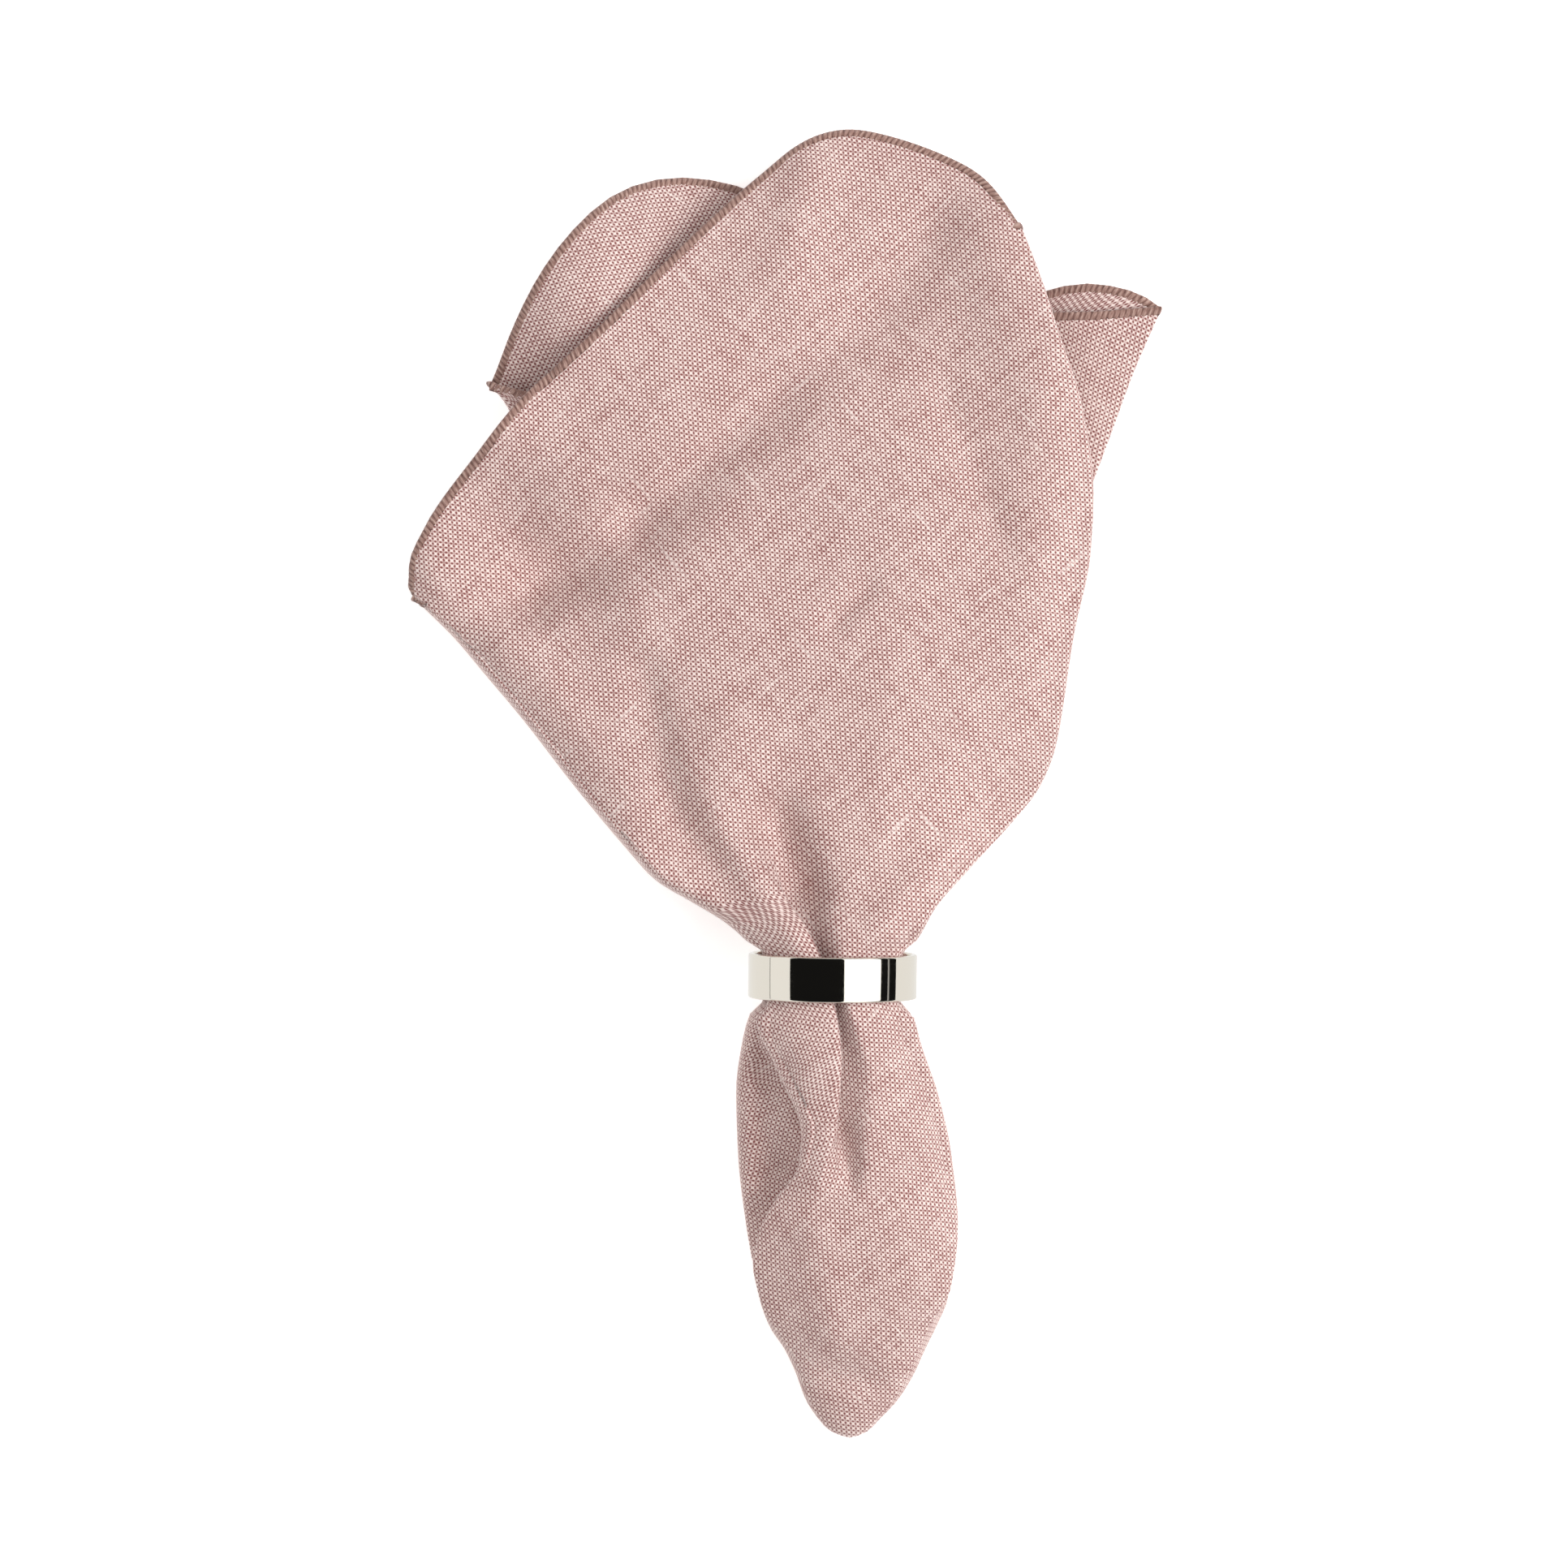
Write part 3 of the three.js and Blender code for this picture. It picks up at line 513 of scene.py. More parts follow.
def run_place(run, share, rows):
    """Where a run's cloth passes, as x and y for each row and share: straight across in the bulb, and
    along rays to its edge in the fan, which stray as the folds beside it do."""
    folds = (run, after(run))
    sides = [FOLDS[f]["side"] for f in folds]
    rim_x, rim_y = RIM[run][0](share)
    in_fan = np.isfinite(rows["share"])
    part = np.where(in_fan, rows["share"], 0)[:, None]
    y = np.where(in_fan[:, None], mix(THROAT_END, rim_y, part), rows["y"][:, None])
    straight = mix(COURSE[folds[0]](y), COURSE[folds[1]](y), share)
    from_x = mix(COURSE[folds[0]](THROAT_END), COURSE[folds[1]](THROAT_END), share)
    strays = []
    for f in folds:
        at = mix(THROAT_END, FOLDS[f]["rim"][1], part)
        strays.append(COURSE[f](at) - mix(COURSE[f](THROAT_END), FOLDS[f]["rim"][0], part))
    fanned = mix(from_x, rim_x, part) + mix(strays[0], strays[1], share)
    across = np.where(in_fan[:, None], fanned, straight)
    radii = [radius_of(f, y) * at_edge(rows) for f in folds]
    if run == PLEAT_STRIP:
        start, end = -radii[0], radii[1]
    else:
        start, end = -sides[0] * np.abs(radii[0]), -sides[1] * np.abs(radii[1])
    return across + start * (1 - share) ** 3 + end * share**3, y, radii[1]


def tip_point():
    """The middle of the bulb's tip, where the cloth's rows close."""
    return np.array([(left_of(TIP_Y) + right_of(TIP_Y)) / 2, TIP_Y, (low_of(TIP_Y) + high_of(TIP_Y)) / 2])


def laid_flat(grid, starts, ends):
    """Where each point of the cloth lies on the flat napkin, for its weave. On each face that shows,
    the folds are opened out: a step across the cloth counts by its length, so the far side of a fold
    goes on as a straight piece. In the fan a face's own steps count as seen from above, so its soft
    creases leave the threads straight. Then the face is turned to its threads. Between two faces the
    places run evenly from one to the other."""
    count = grid.shape[1]
    tip = tip_point()
    flat = np.zeros((*grid.shape[:2], 2))
    spans = []
    for face in FACES:
        first = starts[face["runs"][0]] - PAST_FOLD
        last = ends[face["runs"][1]] + PAST_FOLD
        columns = np.arange(first, last + 1)
        points = grid[:, columns % count]
        on_face = (columns[:-1] >= starts[face["runs"][0]]) & (columns[:-1] < ends[face["runs"][1]])
        level = smooth((points[:, :-1, 1] - LEVEL_FROM) / (LEVEL_TO - LEVEL_FROM)) * on_face[None, :]
        rise = np.diff(points[..., 2], axis=1) * (1 - level)
        step = np.hypot(np.diff(points[..., 0], axis=1), rise)
        along = np.concatenate([np.zeros((len(grid), 1)), np.cumsum(step, axis=1)], axis=1)
        middle = (starts[face["from"]] + ends[face["from"]]) // 2 - first
        way = -FOLDS[face["from"]]["side"]
        x = points[:, middle, 0][:, None] + way * (along - along[:, middle][:, None]) - tip[0]
        y = points[..., 1] - tip[1]
        turn = math.radians(face["threads"])
        flat[:, columns % count, 0] = x * math.cos(turn) + y * math.sin(turn)
        flat[:, columns % count, 1] = y * math.cos(turn) - x * math.sin(turn)
        spans.append((first, last))
    for i, (_, end) in enumerate(spans):
        start = spans[(i + 1) % len(spans)][0] + (count if i + 1 == len(spans) else 0)
        columns = np.arange(end + 1, start)
        share = ((columns - end) / (start - end))[None, :, None]
        flat[:, columns % count] = mix(flat[:, [end % count]], flat[:, [start % count]], share)
    return flat


def stations():
    """The rows along the cloth: one y for each in the bulb and throat, then shares of each ray."""
    bulb = TIP_Y + (THROAT_FROM - TIP_Y) * (np.arange(1, BULB_ROWS + 1) / BULB_ROWS) ** TIP_CROWDING
    throat = np.linspace(THROAT_FROM, THROAT_END, THROAT_STEPS + 1)[1:]
    fan = np.arange(1, FAN_ROWS + 1) / FAN_ROWS
    y = np.concatenate([bulb, throat, np.full(FAN_ROWS, np.nan)])
    share = np.concatenate([np.full(BULB_ROWS + THROAT_STEPS, np.nan), fan])
    return {"y": y, "share": share}


def napkin_surface():
    """The cloth's middle surface as a grid of points, rows by columns, with its flat position. Each
    run is laid between its two folds, then turned round the fold at its end in a half circle. Near
    the tip the folds melt into an oval cone."""
    rows = stations()
    points, turns, starts, ends = [], [], [], []
    count = 0
    for run, settings in enumerate(RUNS):
        fold = after(run)
        even = np.arange(settings["columns"] + 1) / settings["columns"]
        share = mix(even, (1 - np.cos(math.pi * even)) / 2, COLUMN_CROWDING)
        x, y, radius = run_place(run, share[None, :], rows)
        z = run_height(run, share[None, :], x, y)
        wide = FOLDS[fold]["round"] > 2
        angles = np.radians([72, 48, 24, 0, -24, -48, -72] if wide else [45, 0, -45])
        next_x, next_y, _ = run_place(fold, np.zeros((1, 1)), rows)
        next_z = run_height(fold, 0.0, next_x, next_y)
        end = [v[:, -1:] for v in (x, y, z, radius)]
        down = (1 - np.sin(angles))[None, :] / 2
        bulge = FOLDS[fold]["side"] * np.maximum(0, end[3]) * np.cos(angles)[None, :]
        points.append(np.stack([x, np.broadcast_to(y, x.shape), z], axis=-1))
        bend = [mix(end[k], value, down) for k, value in enumerate((next_x, next_y, next_z))]
        points.append(np.stack([bend[0] + bulge, bend[1], bend[2]], axis=-1))
        starts.append(count)
        ends.append(count + len(share) - 1)
        count += len(share) + len(angles)
        start = FOLDS[run]["turn"] - TIP_BEND
        ahead = FOLDS[fold]["turn"] - (360 if FOLDS[fold]["turn"] > FOLDS[run]["turn"] else 0)
        turns += [mix(start, ahead + TIP_BEND, share), ahead + TIP_BEND * np.degrees(angles) / 90]
    grid = np.concatenate(points, axis=1)
    turn = np.radians(np.concatenate(turns))
    bulb = np.isfinite(rows["y"])
    y = np.where(bulb, rows["y"], 0)
    half = ((right_of(y) - left_of(y)) / 2)[:, None]
    tall = ((high_of(y) - low_of(y)) / 2)[:, None]
    cone_x = ((left_of(y) + right_of(y)) / 2)[:, None] + half * np.cos(turn)[None, :]
    cone_z = ((low_of(y) + high_of(y)) / 2)[:, None] + tall * np.sin(turn)[None, :]
    cone_z = cone_z + crease_at(cone_x, y[:, None] + 0 * cone_x) * smooth(np.sin(turn))[None, :]
    share = np.where(bulb, folded_share(y), 1)[:, None]
    grid[..., 0] = mix(cone_x, grid[..., 0], share)
    grid[..., 2] = mix(cone_z, grid[..., 2], share)
    grid = relaxed(grid, share)
    pleat = (ends[0] + starts[2]) / 2
    near = np.exp(-(((np.arange(count) - pleat) / PLEAT_REACH) ** 4))[None, :]
    grid = opened(grid, near * (1 - pleat_shut(grid[..., 1])) * (grid[..., 1] > 0))
    filled = 1 - smooth((y - FILL_FROM) / (FILL_TO - FILL_FROM))
    grid = filled_out(grid, np.where(bulb, filled, 0)[:, None])
    grid = inside_ring(grid)
    return grid, laid_flat(grid, starts, ends), tip_point()


def blurred(grid, width):
    """Each row blurred round the loop with a bell of this width in columns."""
    wave = np.fft.rfftfreq(grid.shape[1])
    keep = np.exp(-2 * (math.pi * wave[None, :] * width) ** 2)[..., None]
    return np.fft.irfft(np.fft.rfft(grid, axis=1) * keep, n=grid.shape[1], axis=1)


def relaxed(grid, share):
    """The rows near the tip with their young folds softened, less and less as the folds fill out."""
    return blurred(grid, TIP_BLUR * np.sqrt(1 - share))


def opened(grid, share):
    """The pleat's folds smoothed away by share, where it has opened into the panel."""
    return mix(grid, blurred(grid, PLEAT_BLUR), share[..., None])


def filled_out(grid, share):
    """Each row of the bulb stretched sideways to its outline in SECTIONS, by share."""
    x, y = grid[..., 0], grid[..., 1]
    left, right = left_of(y), right_of(y)
    middle = (left + right) / 2
    to_left = (middle - left) / np.maximum(0.01, middle - x.min(axis=1, keepdims=True))
    to_right = (right - middle) / np.maximum(0.01, x.max(axis=1, keepdims=True) - middle)
    scale = np.where(x < middle, to_left, to_right)
    grid[..., 0] = middle + (x - middle) * mix(1, scale, share)
    return grid


def inside_ring(grid):
    """Keeps the cloth inside the ring's bore: a radius past the soft limit is drawn back to it."""
    settings = bpy.context.scene.napkin_ring
    centre = settings.diameter / MM / 2
    clearance, soften, past_band, let_go = 0.75, 1.2, 0.6, 3
    bore = centre - settings.wall / MM - clearance
    held = 1 - smooth((np.abs(grid[..., 1]) - settings.width / MM / 2 - past_band) / let_go)
    off = np.hypot(grid[..., 0], grid[..., 2] - centre)
    drawn = bore - soften * np.exp(-np.maximum(0, off - bore + soften) / soften)
    scale = np.where(off > bore - soften, mix(1, drawn / np.maximum(off, 0.001), held), 1)
    grid[..., 0] *= scale
    grid[..., 2] = centre + (grid[..., 2] - centre) * scale
    return grid


def normals_of(grid, tip):
    """The direction out of the cloth at each point: the cross product of its two grid directions."""
    across = np.roll(grid, -1, axis=1) - np.roll(grid, 1, axis=1)
    padded = np.concatenate([np.broadcast_to(tip, grid[:1].shape), grid, grid[-1:]])
    along = padded[2:] - padded[:-2]
    normal = np.cross(across, along)
    return normal / np.maximum(1e-9, np.linalg.norm(normal, axis=-1, keepdims=True))


def add_mesh(name, points, faces, material, uv=None):
    """A new mesh object at the origin from points in millimetres about the ring, with its faces, its
    material and one UV pair for each point."""
    mesh = bpy.data.meshes.new(name)
    placed = points.reshape(-1, 3) * MM + RING_AT
    mesh.from_pydata(placed.tolist(), [], faces)
    if uv is not None:
        layer = mesh.uv_layers.new(name="flat")
        corner = np.zeros(len(mesh.loops), np.int32)
        mesh.loops.foreach_get("vertex_index", corner)
        layer.data.foreach_set("uv", uv.reshape(-1, 2)[corner].astype(np.float32).ravel())
    mesh.polygons.foreach_set("use_smooth", np.ones(len(mesh.polygons), bool))
    mesh.materials.append(material)
    mesh.update()
    piece = bpy.data.objects.new(name, mesh)
    bpy.context.scene.collection.objects.link(piece)
    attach(piece, "root")
    return piece


def loop_faces(rows, columns, closed=False):
    """Quads of a grid whose columns close in a loop, and whose rows do too where it is closed."""
    r = np.arange(rows if closed else rows - 1)[:, None]
    c = np.arange(columns)[None, :]
    r_next = (r + 1) % rows
    c_next = (c + 1) % columns
    corners = [(r, c), (r, c_next), (r_next, c_next), (r_next, c)]
    return np.stack([row * columns + column for row, column in corners], axis=-1).reshape(-1, 4)


def linear(text):
    """An sRGB hex colour as linear red, green, blue and alpha."""
    values = [int(text[i : i + 2], 16) / 255 for i in (0, 2, 4)]
    return [v / 12.92 if v <= 0.04045 else ((v + 0.055) / 1.055) ** 2.4 for v in values] + [1.0]


def node(tree, kind, settings=None, *inputs):
    """Adds a node. Its settings are properties, or inputs by name or number, and the inputs that
    follow fill its sockets in order. An input is a value, a socket, or a node for its first output."""
    made = tree.nodes.new(kind)
    for key, value in [*(settings or {}).items(), *enumerate(inputs)]:
        if isinstance(key, str) and key not in made.inputs:
            setattr(made, key, value)
            continue
        if isinstance(value, bpy.types.Node):
            value = value.outputs[0]
        if isinstance(value, bpy.types.NodeSocket):
            tree.links.new(value, made.inputs[key])
        else:
            made.inputs[key].default_value = value
    return made


def new_material(name):
    """An empty node material and its tree."""
    material = bpy.data.materials.new(name)
    material.use_nodes = True
    material.node_tree.nodes.clear()
    return material, material.node_tree


def stretched(tree, coordinates, x, y, detail=1.0):
    """A noise pattern from 0 to 1 whose grains are 1/x by 1/y of the coordinates."""
    place = node(tree, "ShaderNodeMapping", {"Scale": (x, y, 1.0)}, coordinates)
    settings = {"noise_dimensions": "2D", "Scale": 1.0, "Detail": detail, "Roughness": 0.5}
    return node(tree, "ShaderNodeTexNoise", settings, place)


def yarn_tone(tree, across, along, count):
    """The unevenness of spun yarns: each yarn has its own run of light and dark stretches. The yarn's
    number, counted across the cloth, starts the noise along it at a place of its own."""
    apart, stretches = 900.0, 34.0
    place = node(tree, "ShaderNodeMath", {"operation": "MULTIPLY"}, across, count)
    number = node(tree, "ShaderNodeMath", {"operation": "FLOOR"}, place)
    own = node(tree, "ShaderNodeTexWhiteNoise", {"noise_dimensions": "1D", "W": number})
    start = node(tree, "ShaderNodeMath", {"operation": "MULTIPLY"}, own, apart)
    place = node(tree, "ShaderNodeMath", {"operation": "MULTIPLY_ADD"}, along, stretches, start)
    settings = {"noise_dimensions": "1D", "Scale": 1.0, "Detail": 1.5, "W": place}
    return node(tree, "ShaderNodeTexNoise", settings)


def woven_linen(settings):
    """Plain-woven linen, piece-dyed dusty pink and washed. The yarns are uneven, so the eye sees a fine
    canvas with paler slubs along both directions, a dull surface and a faint down at grazing angles.
    The light and shade on the yarn crossings and the shade in the gaps between yarns are painted into
    the colour."""
    material, tree = new_material("woven_linen")
    # The real yarns are 0.49 and 0.63 mm apart, too fine for the render, so they are drawn coarser.
    side = settings.side / MM
    warp = side / (settings.warp_pitch / MM)
    weft = side / (settings.weft_pitch / MM)
    # The yarns waver by a millimetre, as they do in a washed cloth.
    flat = node(tree, "ShaderNodeUVMap", {"uv_map": "flat"})
    waver = node(tree, "ShaderNodeTexNoise", {"noise_dimensions": "2D", "Scale": 40.0, "Detail": 2.0}, flat)
    shift = node(tree, "ShaderNodeVectorMath", {"operation": "SCALE", "Scale": 0.0022}, waver.outputs[1])
    flat = node(tree, "ShaderNodeVectorMath", {"operation": "ADD"}, flat, shift)
    angles = node(tree, "ShaderNodeMapping", {"Scale": (warp * math.pi, weft * math.pi, 1.0)}, flat)
    angles = node(tree, "ShaderNodeSeparateXYZ", None, angles)
    # Painted light and shade on the crossings follows sin(u) sin(v), and painted shade in the gaps between
    # yarns cos(u)^2 cos(v)^2.
    sines = [node(tree, "ShaderNodeMath", {"operation": "SINE"}, angles.outputs[i]) for i in (0, 1)]
    cosines = [node(tree, "ShaderNodeMath", {"operation": "COSINE"}, angles.outputs[i]) for i in (0, 1)]
    crossing_light_shade = node(tree, "ShaderNodeMath", {"operation": "MULTIPLY"}, *sines)
    gap = node(tree, "ShaderNodeMath", {"operation": "MULTIPLY"}, *cosines)
    gap = node(tree, "ShaderNodeMath", {"operation": "MULTIPLY"}, gap, gap)
    place = node(tree, "ShaderNodeSeparateXYZ", None, flat)
    warp_yarn = yarn_tone(tree, place.outputs[0], place.outputs[1], warp)
    weft_yarn = yarn_tone(tree, place.outputs[1], place.outputs[0], weft)
    yarns = node(tree, "ShaderNodeMath", {"operation": "ADD"}, warp_yarn, weft_yarn)
    # The tone starts light, and the crossings' painted light and shade, the gaps' painted shade and the
    # yarns' own unevenness change it by their contrasts.
    depth = settings.yarn_depth
    tone = node(tree, "ShaderNodeMath", {"operation": "MULTIPLY_ADD"}, crossing_light_shade, settings.crossing_light_shade_depth, 0.75)
    tone = node(tree, "ShaderNodeMath", {"operation": "MULTIPLY_ADD"}, gap, -settings.gap_shade_depth, tone)
    uneven = node(tree, "ShaderNodeMath", {"operation": "MULTIPLY_ADD"}, yarns, depth, -depth)
    tone = node(tree, "ShaderNodeMath", {"operation": "ADD"}, tone, uneven)
    # The dark stop colours the painted shade in the gaps between yarns, and the light stop the crossings'
    # painted light on the lighter yarns.
    ramp = node(tree, "ShaderNodeValToRGB", None, tone)
    stops = ramp.color_ramp.elements
    stops[0].position, stops[0].color = 0.08, settings.dark
    stops[1].position, stops[1].color = 0.92, settings.light
    stops.new(0.5).color = settings.colour
    # Slubs are short thick stretches of a single pale yarn.
    slubs = [stretched(tree, flat, warp * 0.7, 26.0), stretched(tree, flat, 26.0, weft * 0.7)]
    slubs = node(tree, "ShaderNodeMath", {"operation": "MAXIMUM"}, *slubs)
    slubs = node(tree, "ShaderNodeMapRange", {1: 0.77, 2: 0.86, 3: 0.0, 4: 0.45}, slubs)
    pale = {"data_type": "RGBA", 0: slubs, 6: ramp, 7: tuple(settings.slub)}
    colour = node(tree, "ShaderNodeMix", pale).outputs[2]
    # The dye is a little cloudy.
    place = node(tree, "ShaderNodeTexCoord").outputs["Object"]
    cloud = node(tree, "ShaderNodeTexNoise", {"Scale": 38.0, "Detail": 2.0, "Vector": place})
    cloud = node(tree, "ShaderNodeMapRange", {1: 0.3, 2: 0.7, 3: 0.985, 4: 1.012}, cloud)
    colour = node(tree, "ShaderNodeVectorMath", {"operation": "SCALE", "Scale": cloud}, colour)
    # Thick yarns stand up and the gaps between yarns lie deeper.
    sunk = node(tree, "ShaderNodeMath", {"operation": "MULTIPLY"}, gap, -0.6)
    height = node(tree, "ShaderNodeMath", {"operation": "MULTIPLY_ADD"}, yarns, 0.8, sunk)
    bump = node(tree, "ShaderNodeBump", {"Strength": 0.35, "Distance": 0.00012, "Height": height})
    look = {
        "Base Color": colour,
        "Normal": bump,
        "Roughness": 0.88,
        "Specular IOR Level": 0.25,
        "Sheen Weight": 0.7,
        "Sheen Roughness": 0.4,
        "Sheen Tint": linear("F4E6E2"),
    }
    shader = node(tree, "ShaderNodeBsdfPrincipled", look)
    node(tree, "ShaderNodeOutputMaterial", None, shader)
    return material


def overlock_thread(settings):
    """Textured polyester sewing thread, looped over the cut edge. It is softer and darker than the
    linen, with painted highlights on the tops of the loops and painted shade at their sides and in the
    gaps between them."""
    material, tree = new_material("overlock_thread")
    along = node(tree, "ShaderNodeUVMap", {"uv_map": "flat"})
    fibre = stretched(tree, along, STITCHES_IN_UV * 3.0, STITCHES_IN_UV * 4.0, 2.0)
    # The loops repeat once a stitch and lean over the edge; each is painted with a highlight on its top and
    # shade at its sides.
    place = node(tree, "ShaderNodeSeparateXYZ", None, along)
    loop = node(tree, "ShaderNodeMath", {"operation": "MULTIPLY"}, place, STITCHES_IN_UV * math.pi)
    loop = node(tree, "ShaderNodeMath", {"operation": "SINE"}, loop)
    loop = node(tree, "ShaderNodeMath", {"operation": "ABSOLUTE"}, loop)
    fuzz = node(tree, "ShaderNodeMath", {"operation": "MULTIPLY"}, fibre, 0.85)
    tone = node(tree, "ShaderNodeMath", {"operation": "MULTIPLY_ADD"}, loop, 0.42, fuzz)
    # A row of needle holes runs along the inner side, one to a stitch, painted dark as the shade in them.
    across = node(tree, "ShaderNodeMath", {"operation": "MULTIPLY"}, place.outputs[1], STITCHES_IN_UV)
    inner = node(tree, "ShaderNodeMapRange", {1: 0.1, 2: 0.16, 3: 1.0, 4: 0.0}, across)
    between = node(tree, "ShaderNodeMath", {"operation": "SUBTRACT"}, 1.0, loop)
    needle_hole_shade = node(tree, "ShaderNodeMath", {"operation": "MULTIPLY"}, inner, between)
    tone = node(tree, "ShaderNodeMath", {"operation": "MULTIPLY_ADD"}, needle_hole_shade, -0.6, tone)
    # The light stop is the painted highlight on the loop tops, and the dark stop the painted shade at their
    # sides, between them and in the needle holes.
    ramp = node(tree, "ShaderNodeValToRGB", None, tone)
    stops = ramp.color_ramp.elements
    stops[0].position, stops[0].color = 0.3, settings.dark
    stops[1].position, stops[1].color = 1.0, settings.light
    stops.new(0.7).color = settings.colour
    bump = node(tree, "ShaderNodeBump", {"Strength": 0.3, "Distance": 0.0001, "Height": fibre})
    look = {"Base Color": ramp, "Normal": bump, "Roughness": 0.75, "Sheen Weight": 0.2}
    shader = node(tree, "ShaderNodeBsdfPrincipled", look)
    node(tree, "ShaderNodeOutputMaterial", None, shader)
    return material


def polished_steel(settings):
    """Stainless steel strip, rolled, welded and mirror polished. It mirrors the room in clear bands,
    with a faint haze of fine wiping marks."""
    material, tree = new_material("polished_stainless_steel")
    place = node(tree, "ShaderNodeTexCoord").outputs["Object"]
    place = node(tree, "ShaderNodeMapping", {"Scale": (60.0, 900.0, 60.0)}, place)
    wiping = node(tree, "ShaderNodeTexNoise", {"Scale": 1.0, "Detail": 3.0, "Vector": place})
    gloss = node(tree, "ShaderNodeMapRange", {1: 0.3, 2: 0.7, 3: 0.025, 4: 0.07}, wiping)
    bump = node(tree, "ShaderNodeBump", {"Strength": 0.02, "Distance": 0.00005, "Height": wiping})
    look = {"Base Color": settings.colour, "Metallic": 1.0, "Roughness": gloss, "Normal": bump}
    shader = node(tree, "ShaderNodeBsdfPrincipled", look)
    node(tree, "ShaderNodeOutputMaterial", None, shader)
    return material


def plain_paper(name, colour, glow):
    """Matt white paper on a light table, with a faint unevenness. The light from below lifts the
    shadows on it."""
    material, tree = new_material(name)
    place = node(tree, "ShaderNodeTexCoord").outputs["Object"]
    grain = node(tree, "ShaderNodeTexNoise", {"Scale": 9.0, "Detail": 2.0, "Vector": place})
    tone = node(tree, "ShaderNodeMapRange", {1: 0.3, 2: 0.7, 3: 0.99, 4: 1.0}, grain)
    shade = node(tree, "ShaderNodeVectorMath", {"operation": "SCALE", "Scale": tone}, list(colour)[:3])
    look = {
        "Base Color": shade,
        "Emission Color": colour,
        "Emission Strength": glow,
        "Roughness": 0.9,
        "Specular IOR Level": 0.2,
    }
    shader = node(tree, "ShaderNodeBsdfPrincipled", look)
    node(tree, "ShaderNodeOutputMaterial", None, shader)
    return material


def glowing(name, strength):
    """A studio panel's glow, which shows only in the ring's mirror."""
    material, tree = new_material(name)
    look = {
        "Base Color": (0, 0, 0, 1),
        "Specular IOR Level": 0,
        "Emission Color": (1, 1, 1, 1),
        "Emission Strength": strength,
    }
    shader = node(tree, "ShaderNodeBsdfPrincipled", look)
    node(tree, "ShaderNodeOutputMaterial", None, shader)
    return material


class NapkinSettings(bpy.types.PropertyGroup):
    """The linen napkin."""

    side: bpy.props.FloatProperty(
        name="Side", description="Side of the square napkin as cut", default=SIDE * MM, unit="LENGTH"
    )
    thickness: bpy.props.FloatProperty(
        name="Thickness", description="Thickness of the cloth", default=0.00045, unit="LENGTH"
    )
    warp_pitch: bpy.props.FloatProperty(
        name="Warp pitch", description="Distance between drawn warp yarns", default=0.00072, unit="LENGTH"
    )
    weft_pitch: bpy.props.FloatProperty(
        name="Weft pitch", description="Distance between drawn weft yarns", default=0.0009, unit="LENGTH"
    )
    # How strong the painted light and shade on the yarn crossings is.
    crossing_light_shade_depth: bpy.props.FloatProperty(
        name="Weave contrast", description="Light and dark of the yarn crossings", default=0.3
    )
    # How dark the painted shade in the gaps between yarns is.
    gap_shade_depth: bpy.props.FloatProperty(
        name="Gap contrast", description="Darkness of the gaps between the yarns", default=1.2
    )
    yarn_depth: bpy.props.FloatProperty(
        name="Yarn contrast", description="Light and dark from yarn to yarn", default=0.36
    )
    colour: bpy.props.FloatVectorProperty(
        name="Colour", description="Middle colour of the linen", size=4, min=0, max=1,
        subtype="COLOR", default=linear("C2A59F"),
    )
    light: bpy.props.FloatVectorProperty(
        name="Light yarns", description="Colour of the lightest yarns", size=4, min=0, max=1,
        subtype="COLOR", default=linear("E6D4CE"),
    )
    # The colour of the painted shade in the gaps between yarns.
    dark: bpy.props.FloatVectorProperty(
        name="Dark gaps", description="Colour between the yarns", size=4, min=0, max=1,
        subtype="COLOR", default=linear("7C4846"),
    )
    slub: bpy.props.FloatVectorProperty(
        name="Slubs", description="Colour of the thick pale yarns", size=4, min=0, max=1,
        subtype="COLOR", default=linear("EEDFD9"),
    )


class EdgeSettings(bpy.types.PropertyGroup):
    """The overlocked edge."""

    width: bpy.props.FloatProperty(
        name="Width", description="Width of the stitching on the cloth", default=0.0023, unit="LENGTH"
    )
    height: bpy.props.FloatProperty(
        name="Height", description="Thickness of the stitched edge", default=0.0011, unit="LENGTH"
    )
    stitch: bpy.props.FloatProperty(
        name="Stitch", description="Length of one stitch", default=0.00135, unit="LENGTH"
    )
    colour: bpy.props.FloatVectorProperty(
        name="Colour", description="Colour of the thread", size=4, min=0, max=1,
        subtype="COLOR", default=linear("8B695F"),
    )
    # The loop tops' colour is a painted highlight, and the gaps' colour below is a painted shade.
    light: bpy.props.FloatVectorProperty(
        name="Loop tops", description="Colour of the thread where the light catches it", size=4, min=0,
        max=1, subtype="COLOR", default=linear("B3968B"),
    )
    dark: bpy.props.FloatVectorProperty(
        name="Gaps", description="Colour between the loops", size=4, min=0, max=1,
        subtype="COLOR", default=linear("54352F"),
    )


class RingSettings(bpy.types.PropertyGroup):
    """The napkin ring."""

    diameter: bpy.props.FloatProperty(
        name="Diameter", description="Outside diameter of the ring", unit="LENGTH",
        default=RING_HIGH.z - RING_LOW.z,
    )
    width: bpy.props.FloatProperty(
        name="Width", description="Width of the band", default=0.0106, unit="LENGTH"
    )
    wall: bpy.props.FloatProperty(
        name="Wall", description="Thickness of the band", default=0.0012, unit="LENGTH"
    )
    edge: bpy.props.FloatProperty(
        name="Edge", description="Radius of the band's rounded edges", default=0.0005, unit="LENGTH"
    )
    turn: bpy.props.FloatProperty(
        name="Turn", description="How far the ring is turned on the table", unit="ROTATION",
        default=math.radians(-0.6),
    )
    colour: bpy.props.FloatVectorProperty(
        name="Colour", description="Tint of the polished steel", size=4, min=0, max=1,
        subtype="COLOR", default=linear("EAE4D8"),
    )


